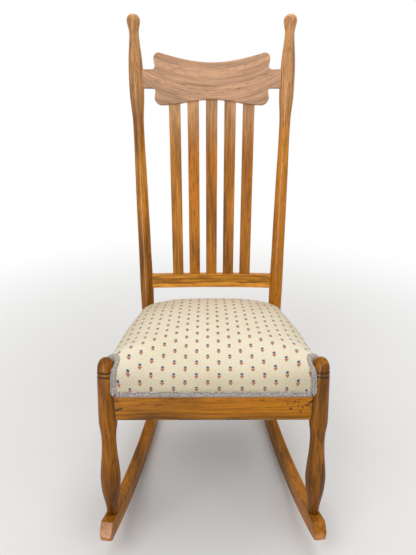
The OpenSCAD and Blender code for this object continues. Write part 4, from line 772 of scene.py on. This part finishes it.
def swollen(points, amount):
    """Runs a short cloth simulation of the pad under inner pressure on a remeshed copy, and gives each
    of the points the nearest copied points' movement, none of it longer than the amount in millimetres."""
    rows = cushion_rows(COVER_OUT - amount * 0.6, [0.0, 0.5], np.linspace(0, math.pi / 2, 16)[:-1])
    cy = plan_middle(COVER_OUT)[0]
    rough = add_object("pad_copy", ring_mesh("pad_copy", rows, [0, cy, 1.0], [0, cy, CROWN], np.eye(4)))
    remesh = rough.modifiers.new("remesh", "REMESH")
    remesh.mode, remesh.voxel_size = "VOXEL", PAD_VOXEL
    graph = bpy.context.evaluated_depsgraph_get()
    solid = bpy.data.meshes.new_from_object(rough.evaluated_get(graph))
    bpy.data.objects.remove(rough)
    pad = add_object("pad_copy", solid)
    start = coordinates(solid)
    pinned = pad.vertex_groups.new(name="pinned")
    pinned.add(np.nonzero(start[:, 2] < PAD_PINNED)[0].tolist(), 1.0, "REPLACE")
    cloth = pad.modifiers.new("cloth", "CLOTH").settings
    cloth.quality, cloth.mass = 5, 0.3
    cloth.effector_weights.gravity = 0
    cloth.use_pressure, cloth.uniform_pressure_force = True, PAD_PRESSURE
    cloth.tension_stiffness, cloth.bending_stiffness = 25, 2
    cloth.vertex_group_mass = "pinned"
    for f in range(1, PAD_FRAMES + 1):
        bpy.context.scene.frame_set(f)
    settled = coordinates(pad.evaluated_get(bpy.context.evaluated_depsgraph_get()).data)
    shift = (settled - start) * 1000
    bpy.context.scene.frame_set(1)
    bpy.data.objects.remove(pad)
    length = np.linalg.norm(shift, axis=1, keepdims=True)
    shift *= np.minimum(1, amount / np.maximum(length, 1e-9))
    tree = kdtree.KDTree(len(start))
    for i, co in enumerate(start):
        tree.insert(co, i)
    tree.balance()
    moved = np.empty_like(points)
    for i, co in enumerate(points * 0.001):
        near = tree.find_n(co, 6)
        weight = np.array([1 / (n[2] + 0.002) for n in near])
        moved[i] = (shift[[n[1] for n in near]] * weight[:, None]).sum(0) / weight.sum()
    return moved


def folds(points):
    """Small pulls in the cloth that fan out from each leg and post and die away in a few centimetres: a
    cosine of the angle, in a bell round a distance of 40 millimetres."""
    lift = np.zeros(len(points))
    for cx, cy, count, phase in FOLDS:
        d = np.hypot(points[:, 0] - cx, points[:, 1] - cy)
        a = np.arctan2(points[:, 1] - cy, points[:, 0] - cx)
        bell = FOLD_UP * ease(30, 46, d) * np.exp(-((d - 40) / 30) ** 2)
        lift += bell * np.cos(count * a + phase) * np.cos(2.3 * a + phase)
    return lift


# Cushion: rings of the hollow underside and of the lapped skirt, then those of the side and of the top
UNDER_SHARES, SIDE_SHARES = (0.35, 0.6, 0.8, 0.9, BURLAP_EDGE), (0.0, 0.2, 0.45, 0.72)
TOP_ANGLES = np.concatenate([[0, 0.02, 0.05], np.linspace(0.09, 0.985, 50)]) * math.pi / 2
UNDER_UP = BURLAP_T + 3 * SEAT_GAP
outer_plan, inner_plan = plan(COVER_OUT), plan(SEAT_GAP)
(outer_x, outer_y, _, lapped), (inner_x, inner_y) = outer_plan.T, inner_plan.T[:2]
lap_z = np.where(lapped > 0, -LAP, SEAT_GAP)
# The lap's front corners are rounded
corner_x = plan_right(COVER_OUT)[PLAN_COUNTS["front"] - 1, 0] - np.abs(outer_x)
rounded = (outer_y < 0) & (lapped > 0) & (corner_x < LAP)
lap_z[rounded] = -np.sqrt(np.maximum(LAP ** 2 - (LAP - corner_x[rounded]) ** 2, 0.2))
under = [columns(inner_x * s, WEB_MID_Y + (inner_y - WEB_MID_Y) * s, burlap_z(s) + UNDER_UP)
         for s in UNDER_SHARES]
skirt = [columns(inner_x, inner_y, 2 * SEAT_GAP), columns(inner_x, inner_y, lap_z),
         columns(outer_x, outer_y, lap_z)]
outer = cushion_rows(COVER_OUT, SIDE_SHARES, TOP_ANGLES)
body = outer.reshape(-1, 3)
# The simulation's movement, less its mean lift, and nothing of it at the lap, the legs and the posts
push = swollen(body, PAD_MOVE)
from_leg = np.hypot(np.abs(body[:, 0]) - LEG_HOLE_X, body[:, 1])
from_post = np.hypot(np.abs(body[:, 0]) - POST_X, body[:, 1] - POST_HOLE_Y)
free = ease(3, 16, body[:, 2]) * ease(34, 56, np.minimum(from_leg, from_post))
body = body + (push - push.mean(0) * [0, 0, 1]) * free[:, None] * PAD_SHARE
body = body + columns(0, 0, folds(body) * ease(6, 20, body[:, 2]))
rows = np.concatenate([under, skirt, body.reshape(outer.shape)])
crown_point = [0, plan_middle(COVER_OUT)[0], rows[-1, :, 2].mean() + 0.05]
low_point = [0, WEB_MID_Y, burlap_z(0.0) + UNDER_UP]
every = np.concatenate([rows.reshape(-1, 3), [low_point, crown_point]])
cushion = ring_mesh("cushion", rows, low_point, crown_point, uv=cloth_uv(every, COVER_OUT))
cushion = finish_mesh("cushion_cover", cushion, cover_cloth, ["seat_cover", "stuffing"])

# Gimp: a flat woven braid glued over the cover's edges. Places across it run from 0 to 1. In front it laps
# over each leg by some millimetres, as far back as a place behind the leg's middle
ACROSS = np.linspace(0, 1, 17)
LEG_LAP, LAP_REAR_Y = 5.0, 12.0
# Step of its mesh along the braid on a straight and on the front one, in millimetres
BRAID_STEP, FRONT_STEP = 0.7, 0.75


def braid(name, base, length, cad_nodes):
    """A braid over a grid of points (along, across) on the cover. Its face is lifted along the grid's own
    outward direction, rounded to its edges and ribbed across by a sine, a bell sinks a groove along each
    half, its edges wave by a tenth of its half width, and its back lies on the cover."""
    out = np.cross(np.gradient(base, axis=0), np.gradient(base, axis=1))
    out /= np.maximum(np.linalg.norm(out, axis=-1, keepdims=True), 1e-9)
    t = np.linspace(-1, 1, base.shape[1])[None, :]
    s = length[:, None]
    rib = 0.5 + 0.5 * np.sin(math.tau * (s / RIB_MM + 0.35 * np.abs(t)))
    groove = np.exp(-((np.abs(t) - 0.5) / 0.1) ** 2)
    lift = 0.55 + (GIMP_T - 0.35) * (1 - 0.55 * np.abs(t) ** 5) - 0.3 * rib - 0.22 * groove
    lift = lift * (1 - 0.8 * (np.abs(t) == 1))
    wave = 0.1 * np.sin(math.tau * s / (2 * RIB_MM)) * t ** 3
    front = base + (base - base.mean(1, keepdims=True)) * wave[..., None] + out * lift[..., None]
    back = base + out * SEAT_GAP
    rows = np.concatenate([front, back[:, ::-1]], axis=1)
    cord = columns(s, t * GIMP_W / 2)
    cord = np.concatenate([cord, cord[:, ::-1]], 1).reshape(-1, 2)
    cord = np.concatenate([cord, [[0, 0], [length[-1], 0]]]) * 0.001
    mesh = ring_mesh(name, rows, rows[0].mean(0), rows[-1].mean(0), uv=cord)
    finish_mesh(name, mesh, gimp_cloth, cad_nodes)


def evenly(grid, step):
    """A grid of points (along, across) brought to equal steps along its middle line, and the length run."""
    run = np.concatenate([[0], np.cumsum(np.linalg.norm(np.diff(grid.mean(1), axis=0), axis=1))])
    s = np.linspace(0, run[-1], int(run[-1] / step))
    lines = [np.interp(s, run, line) for line in grid.reshape(len(grid), -1).T]
    return np.stack(lines, -1).reshape(len(s), -1, 3), s


def straight_braid(name, start, end, cad_nodes):
    """A braid along one rail, between two points of the lap's top edge, hanging down by its width."""
    top = np.array([start, end], float)[:, None]
    grid, s = evenly(top + columns(0, 0, (ACROSS - 1) * GIMP_W), BRAID_STEP)
    braid(name, grid, s, cad_nodes)


def leg_edges(count=140):
    """The braid's two edges round the right front leg in plan, with the side's swell that lies under the
    second: one on the leg's hollow, or lapping over the leg in front, the other a braid's width away in a
    direction that turns from the left to the rear."""
    outline = plan_right(COVER_OUT)
    at = np.cumsum([PLAN_COUNTS[part] for part in ("front", "leg", "side")]) - 1
    first, last, tail = outline[at]
    a = math.tau + math.atan2(first[1], first[0] - LEG_HOLE_X)
    b = math.atan2(last[1], last[0] - LEG_HOLE_X)
    t = (1 - np.cos(np.linspace(0, math.pi, count))) / 2
    turned, facing = a + (b - a) * t, math.pi - math.pi / 2 * t
    r = LEG_HOLE_R + SEAT_GAP
    lapped = LEG_LAP * (1 - ease(0.0, 0.4, t))
    edge = columns(LEG_HOLE_X + r * np.cos(turned) + lapped, np.maximum(r * np.sin(turned), first[1]))
    width = GIMP_W * (1 - 0.15 * np.sin(math.pi * t))
    y = np.maximum(edge[:, 1] + width * np.sin(facing), first[1])
    x = np.minimum(edge[:, 0] + width * np.cos(facing), rail_x(y, COVER_OUT))
    swell = SIDE_SWELL * np.sin(math.pi * np.maximum(y - last[1], 0) / (tail[1] - last[1])) * t
    return edge, columns(x, y), swell


def front_half():
    """Right half of the front braid as a grid (along, across) with the length run: along the rail, round the
    corner about its inner end, straight up the foot, round the leg on the dome, and down to the side rail."""
    edge, away, swell = leg_edges()
    w = ACROSS[None, :, None]
    flat = edge[:, None] * (1 - w) + away[:, None] * w
    over = surface_z(flat[..., 0], flat[..., 1], COVER_OUT)
    round_leg = columns(flat[..., 0] + swell[:, None] * ACROSS, flat[..., 1], over)
    front_y = rail_y(COVER_OUT)[0]
    low = round_leg[0] * [1, 1, 0]
    pivot_x = low[-1, 0]
    spoke = (1 - ACROSS) * (low[0, 0] - pivot_x)
    rail_part = columns(np.linspace(0, pivot_x, 260)[:-1, None], front_y, -spoke)
    a = np.linspace(math.pi / 2, 0, 26)[:-1, None]
    corner = columns(pivot_x + spoke * np.cos(a), front_y, -spoke * np.sin(a))
    foot = low + (round_leg[0] - low) * np.linspace(0, 1, 14)[:-1, None, None]
    tail_low = round_leg[-1] * [1, 1, 0] + [0, 0, SEAT_GAP]
    tail = round_leg[-1] + (tail_low - round_leg[-1]) * np.linspace(0, 1, 26)[1:, None, None]
    half = np.concatenate([rail_part, corner, foot, round_leg, tail])
    # Where it laps over the leg, the braid bends forward and lies on the leg's own face
    x, y, z = half[..., 0], half[..., 1], half[..., 2]
    leg_away = x - LEG_X + z * TAN_LEG
    leg_round = leg_r(np.minimum(z, LEG_OVER - LEG_DOME)) + SEAT_GAP
    on_leg = (leg_away ** 2 + y ** 2 < leg_round ** 2) & (y < LAP_REAR_Y)
    half[..., 1] = np.where(on_leg, -np.sqrt(np.maximum(leg_round ** 2 - leg_away ** 2, 0)), y)
    half, s = evenly(half, FRONT_STEP)
    for _ in range(6):
        half[1:-1] = (half[:-2] + 2 * half[1:-1] + half[2:]) / 4
    return half, s


half, s = front_half()
whole = np.concatenate([half[:0:-1] * [-1, 1, 1], half])
braid("gimp_braid_front", whole, np.concatenate([-s[:0:-1], s]) + s[-1],
      ["gimp_front", "gimp_leg_left", "gimp_leg_right"])
side_out, rear_y = RAIL_T / 2 + COVER_OUT, rail_y(COVER_OUT)[1]
leg_room, post_room, braid_out = LEG_HOLE_R + SEAT_GAP, POST_HOLE_R + SEAT_GAP, side_out + SEAT_GAP
rear_x = POST_X - math.sqrt(post_room ** 2 - (rear_y + SEAT_GAP + GIMP_T - POST_HOLE_Y) ** 2) - SEAT_GAP
straight_braid("gimp_braid_rear", (rear_x, rear_y, 0), (-rear_x, rear_y, 0), ["gimp_rear"])
begin = math.sqrt(leg_room ** 2 - braid_out ** 2) + 2 * SEAT_GAP + (braid_out + GIMP_T) * SIDE_SLOPE
stop = math.hypot(LEG_MID_X - POST_MID_X, POST_MID_Y) - 2 * SEAT_GAP
stop -= math.sqrt(post_room ** 2 - braid_out ** 2)
c, n = math.cos(SIDE_ANGLE), math.sin(SIDE_ANGLE)
for s, word in SIDES:
    two = [(s * (LEG_MID_X - t * n + side_out * c), t * c + side_out * n, 0) for t in (begin, stop)]
    straight_braid(f"gimp_braid_side_{word}", *two[::s], [f"gimp_side_{word}"])

# Inside and below: webbing, springs, burlap and the dust cover
WEB_W, WEB_T, WEB_TOP = 50.0, 1.6, -RAIL_H - SEAT_GAP
WEB_STEP = WEB_T + SEAT_GAP
WEB_X, WEB_Y = (LEG_MID_X + POST_MID_X) * 0.247, POST_MID_Y * 0.2556
# Half the length over which a strip stays level where another crosses it
WEB_LEVEL = WEB_W * 0.54
# The strips' ends lie this far inside the rails' outer faces
WEB_IN = 0.5


def cloth_slab(name, grid, thick, material, nodes):
    """A sheet of cloth over a grid of points (along, across), its thickness laid off downwards, its edges
    rounded off by half the thickness."""
    t = np.linspace(-1, 1, grid.shape[1])[None, :]
    half = thick / 2 * (1 - 0.7 * np.abs(t) ** 30)
    top, low = (grid + columns(0, 0, up - thick / 2) for up in (half, -half))
    rows = np.concatenate([top, low[:, ::-1]], axis=1)
    mesh = ring_mesh(name, rows, rows[0].mean(0), rows[-1].mean(0))
    thing = finish_mesh(name, mesh, material, nodes, sharp=50)


def web_height(u, middle, pitch, odd):
    """Height of a strip's top along its run: level over each crossing, one thickness down under the strips
    that pass over it, with eased slopes between."""
    drop = np.zeros_like(u)
    for j in (1, 2, 3):
        if (j + odd) % 2:
            away = np.abs(u - middle - (j - 2) * pitch)
            drop = np.maximum(drop, 1 - ease(WEB_LEVEL, pitch - WEB_LEVEL, away))
    return WEB_TOP - WEB_STEP * drop


w = np.linspace(-WEB_W / 2, WEB_W / 2, 9)[None, :]
for i in (1, 2, 3):
    u = np.linspace(-RAIL_T / 2 + WEB_IN, POST_MID_Y + RAIL_T / 2 - WEB_IN, 150)[:, None]
    grid = columns((i - 2) * WEB_X - w, u, web_height(u, WEB_MID_Y, WEB_Y, i))
    cloth_slab(f"web_strip_long_{i}", grid, WEB_T, jute, ["webbing_lengthwise"])
    y = WEB_MID_Y + (i - 2) * WEB_Y
    end = side_x(y + WEB_W / 2) + RAIL_T / 3
    u = np.linspace(-end, end, 150)[:, None]
    grid = columns(u, y + w, web_height(u, 0.0, WEB_X, i + 1))
    cloth_slab(f"web_strip_cross_{i}", grid, WEB_T, jute, ["webbing_crosswise"])

# Burlap: a low dome over the springs; each ring is the rails' outline drawn in to its middle. It was cut a
# little larger than it lies
CUT_LARGER = 1.03
x, y = plan(0).T[:2]
shares = np.linspace(1, 0.03, 40)[:, None] * BURLAP_EDGE
top = columns(x * shares, WEB_MID_Y + (y - WEB_MID_Y) * shares, burlap_z(shares) + BURLAP_T)
rows = np.concatenate([(top - [0, 0, BURLAP_T * 0.9])[::-1], top])
first, last = ([0, WEB_MID_Y, burlap_z(0.0) + up] for up in (0.1 * BURLAP_T, BURLAP_T))
burlap = ring_mesh("burlap_cloth", rows, first, last)
burlap = finish_mesh("burlap_cloth", burlap, burlap_cloth, ["burlap"], sharp=50)
wide, deep, _ = (float(size) * CUT_LARGER * 0.001 for size in np.ptp(top.reshape(-1, 3), axis=0))

# Dust cover: a thin black cloth tacked under the rails, cut out round the legs and posts, slack in the middle
DUST_T, DUST_TOP, DUST_SAG = 1.0, WEB_TOP - WEB_STEP - WEB_T - SEAT_GAP, 4.0
DUST_IN, DUST_ROOM = RAIL_T / 4, LEG_D / 2 + 0.5
y = np.linspace(-RAIL_T / 2 + DUST_IN, POST_MID_Y + RAIL_T / 2 - DUST_IN, 220)
reach = side_x(y) + RAIL_T / 2 - DUST_IN
for cx, cy in ((LEG_X - DUST_TOP * TAN_LEG, 0.0), (POST_X, SEAT_DEPTH + DUST_TOP * TAN_LEAN)):
    cut = cx - np.sqrt(np.maximum(DUST_ROOM ** 2 - (y - cy) ** 2, 0))
    reach = np.where(np.abs(y - cy) < DUST_ROOM, np.minimum(reach, cut), reach)
grid = columns(reach[:, None] * np.linspace(1, -1, 121), y[:, None], DUST_TOP)
inward = np.minimum(reach[:, None] - np.abs(grid[..., 0]), np.minimum(y - y[0], y[-1] - y)[:, None])
ripple = 0.8 * np.sin(grid[..., 0] / 23) * np.sin(grid[..., 1] / 31)
grid[..., 2] -= ease(14, 90, inward) * (DUST_SAG + ripple)
cloth_slab("dust_cover_cloth", grid, DUST_T, dust_cloth, ["dust_cover"])

# Springs: wire wound in four turns, drawn in at the waist
SPRING_D, SPRING_WAIST, WIRE_D, SPRING_TURNS = 70.0, 46.0, 3.4, 4


def under_burlap(x, y):
    """Height of the burlap's underside over a place, from the place's share of the way to the rails."""
    s = np.maximum(np.abs(x) / rail_x(y, 0), np.abs(y - WEB_MID_Y) / (WEB_MID_Y + RAIL_T / 2))
    return burlap_z(s)


def spring(x, y, start_turn):
    """A coil's centre line, its radius drawn in by a sine over an even rise, and rings of points round it."""
    a = np.radians(np.arange(0, 360, 30))
    rim = under_burlap(x + SPRING_D / 2 * np.cos(a), y + SPRING_D / 2 * np.sin(a))
    top = float(rim.min()) - SEAT_GAP - WIRE_D / 2
    base = WEB_TOP + SEAT_GAP + WIRE_D / 2
    s = np.linspace(0, 1, SPRING_TURNS * 36 + 1)
    turned = start_turn + math.tau * SPRING_TURNS * s
    r = (SPRING_D - WIRE_D) / 2 - (SPRING_D - SPRING_WAIST) / 2 * np.sin(math.pi * s)
    line = columns(x + r * np.cos(turned), y + r * np.sin(turned), base + (top - base) * s)
    ahead = np.gradient(line, axis=0)
    ahead /= np.linalg.norm(ahead, axis=1)[:, None]
    out = np.cross(ahead, [0, 0, 1])
    out /= np.linalg.norm(out, axis=1)[:, None]
    up = np.cross(out, ahead)
    b = np.linspace(0, math.tau, 11)[:-1, None]
    return line, line[:, None] + WIRE_D / 2 * (out[:, None] * np.cos(b) + up[:, None] * np.sin(b))


bm = bmesh.new()
for i in (-1, 0, 1):
    for j in (-1, 0, 1):
        # Neighbouring coils start a quarter turn apart
        start_turn = 0.0 if (i + j) % 2 else math.pi / 2
        line, rows = spring(i * WEB_X, WEB_MID_Y + j * WEB_Y, start_turn)
        coil = ring_mesh("coil", rows, line[0], line[-1])
        bm.from_mesh(coil)
        bpy.data.meshes.remove(coil)
coils = bpy.data.meshes.new("coil_springs")
bm.to_mesh(coils)
bm.free()
finish_mesh("coil_springs", coils, spring_steel, ["seat_springs"])


# Studio: a pale floor, a white surround for the camera, three large soft lamps and a tall window
def studio_paper(name, shade):
    """Matt pale paper that takes the chair's shadow. Away from the chair, between two distances in metres, it
    turns to plain white for the camera and in reflections."""
    m, add, shader = new_material(name)
    feed(shader, {"Base Color": linear(shade), "Roughness": 0.9})
    away = add("VectorMath LENGTH", add("TexCoord", out="Object"), out="Value")
    seen = add("MAXIMUM", add("LightPath", out="Is Camera Ray"), add("LightPath", out="Is Glossy Ray"))
    far = add("MULTIPLY", seen, add(SOFT, away, 0.5, 1.9))
    both = add("MixShader", far, shader.outputs[0], add("Emission", (1, 1, 1, 1), 1.0))
    feed(m.node_tree.nodes["Material Output"], {"Surface": both})
    return m


floor_mesh = bpy.data.meshes.new("floor")
floor_mesh.from_pydata([(-8, -6, 0), (8, -6, 0), (8, 12, 0), (-8, 12, 0)], [], [(0, 1, 2, 3)])
floor = add_object("floor", floor_mesh)
floor.data.materials.append(studio_paper("paper_floor", "#e9e8e6"))

# Soft daylight on the chair, and plain white for the camera, in reflections and through glass
DAYLIGHT, PLAIN_WHITE = 0.46, 1.0
world = bpy.data.worlds.new("studio")
bpy.context.scene.world = world
world.use_nodes = True
world.node_tree.nodes.clear()
add = partial(add_node, world.node_tree)
seen = add("MAXIMUM", add("LightPath", out="Is Camera Ray"), add("LightPath", out="Is Glossy Ray"))
seen = add("MAXIMUM", seen, add("LightPath", out="Is Transmission Ray"))
soft, white = (add("Background", (1, 1, 1, 1), strength) for strength in (DAYLIGHT, PLAIN_WHITE))
world_end = world.node_tree.nodes.new("ShaderNodeOutputWorld")
feed(world_end, {"Surface": add("MixShader", seen, soft, white)})

# Lamps: (name, place, height aimed at, width, height, watts)
LAMPS = [("key", (-1.4, -1.5, 3.0), 0.5, 1.6, 1.6, 30), ("fill", (1.7, -1.7, 2.2), 0.4, 1.6, 1.6, 15),
         ("top", (0.2, 0.5, 2.9), 0.4, 1.8, 1.8, 29), ("window", (-0.75, -2.0, 0.85), 0.85, 0.3, 1.7, 60)]
for name, at, aim_z, wide, high, watts in LAMPS:
    lamp = bpy.data.lights.new(name, "AREA")
    lamp.shape, lamp.size, lamp.size_y, lamp.energy = "RECTANGLE", wide, high, watts
    facing = (Vector((0, 0, aim_z)) - Vector(at)).to_track_quat("-Z", "Y").to_euler()
    thing = add_object(name, lamp, at, facing)
    # The window adds only highlights
    thing.visible_diffuse = thing.visible_camera = name != "window"
bpy.context.scene.view_settings.view_transform = "Standard"
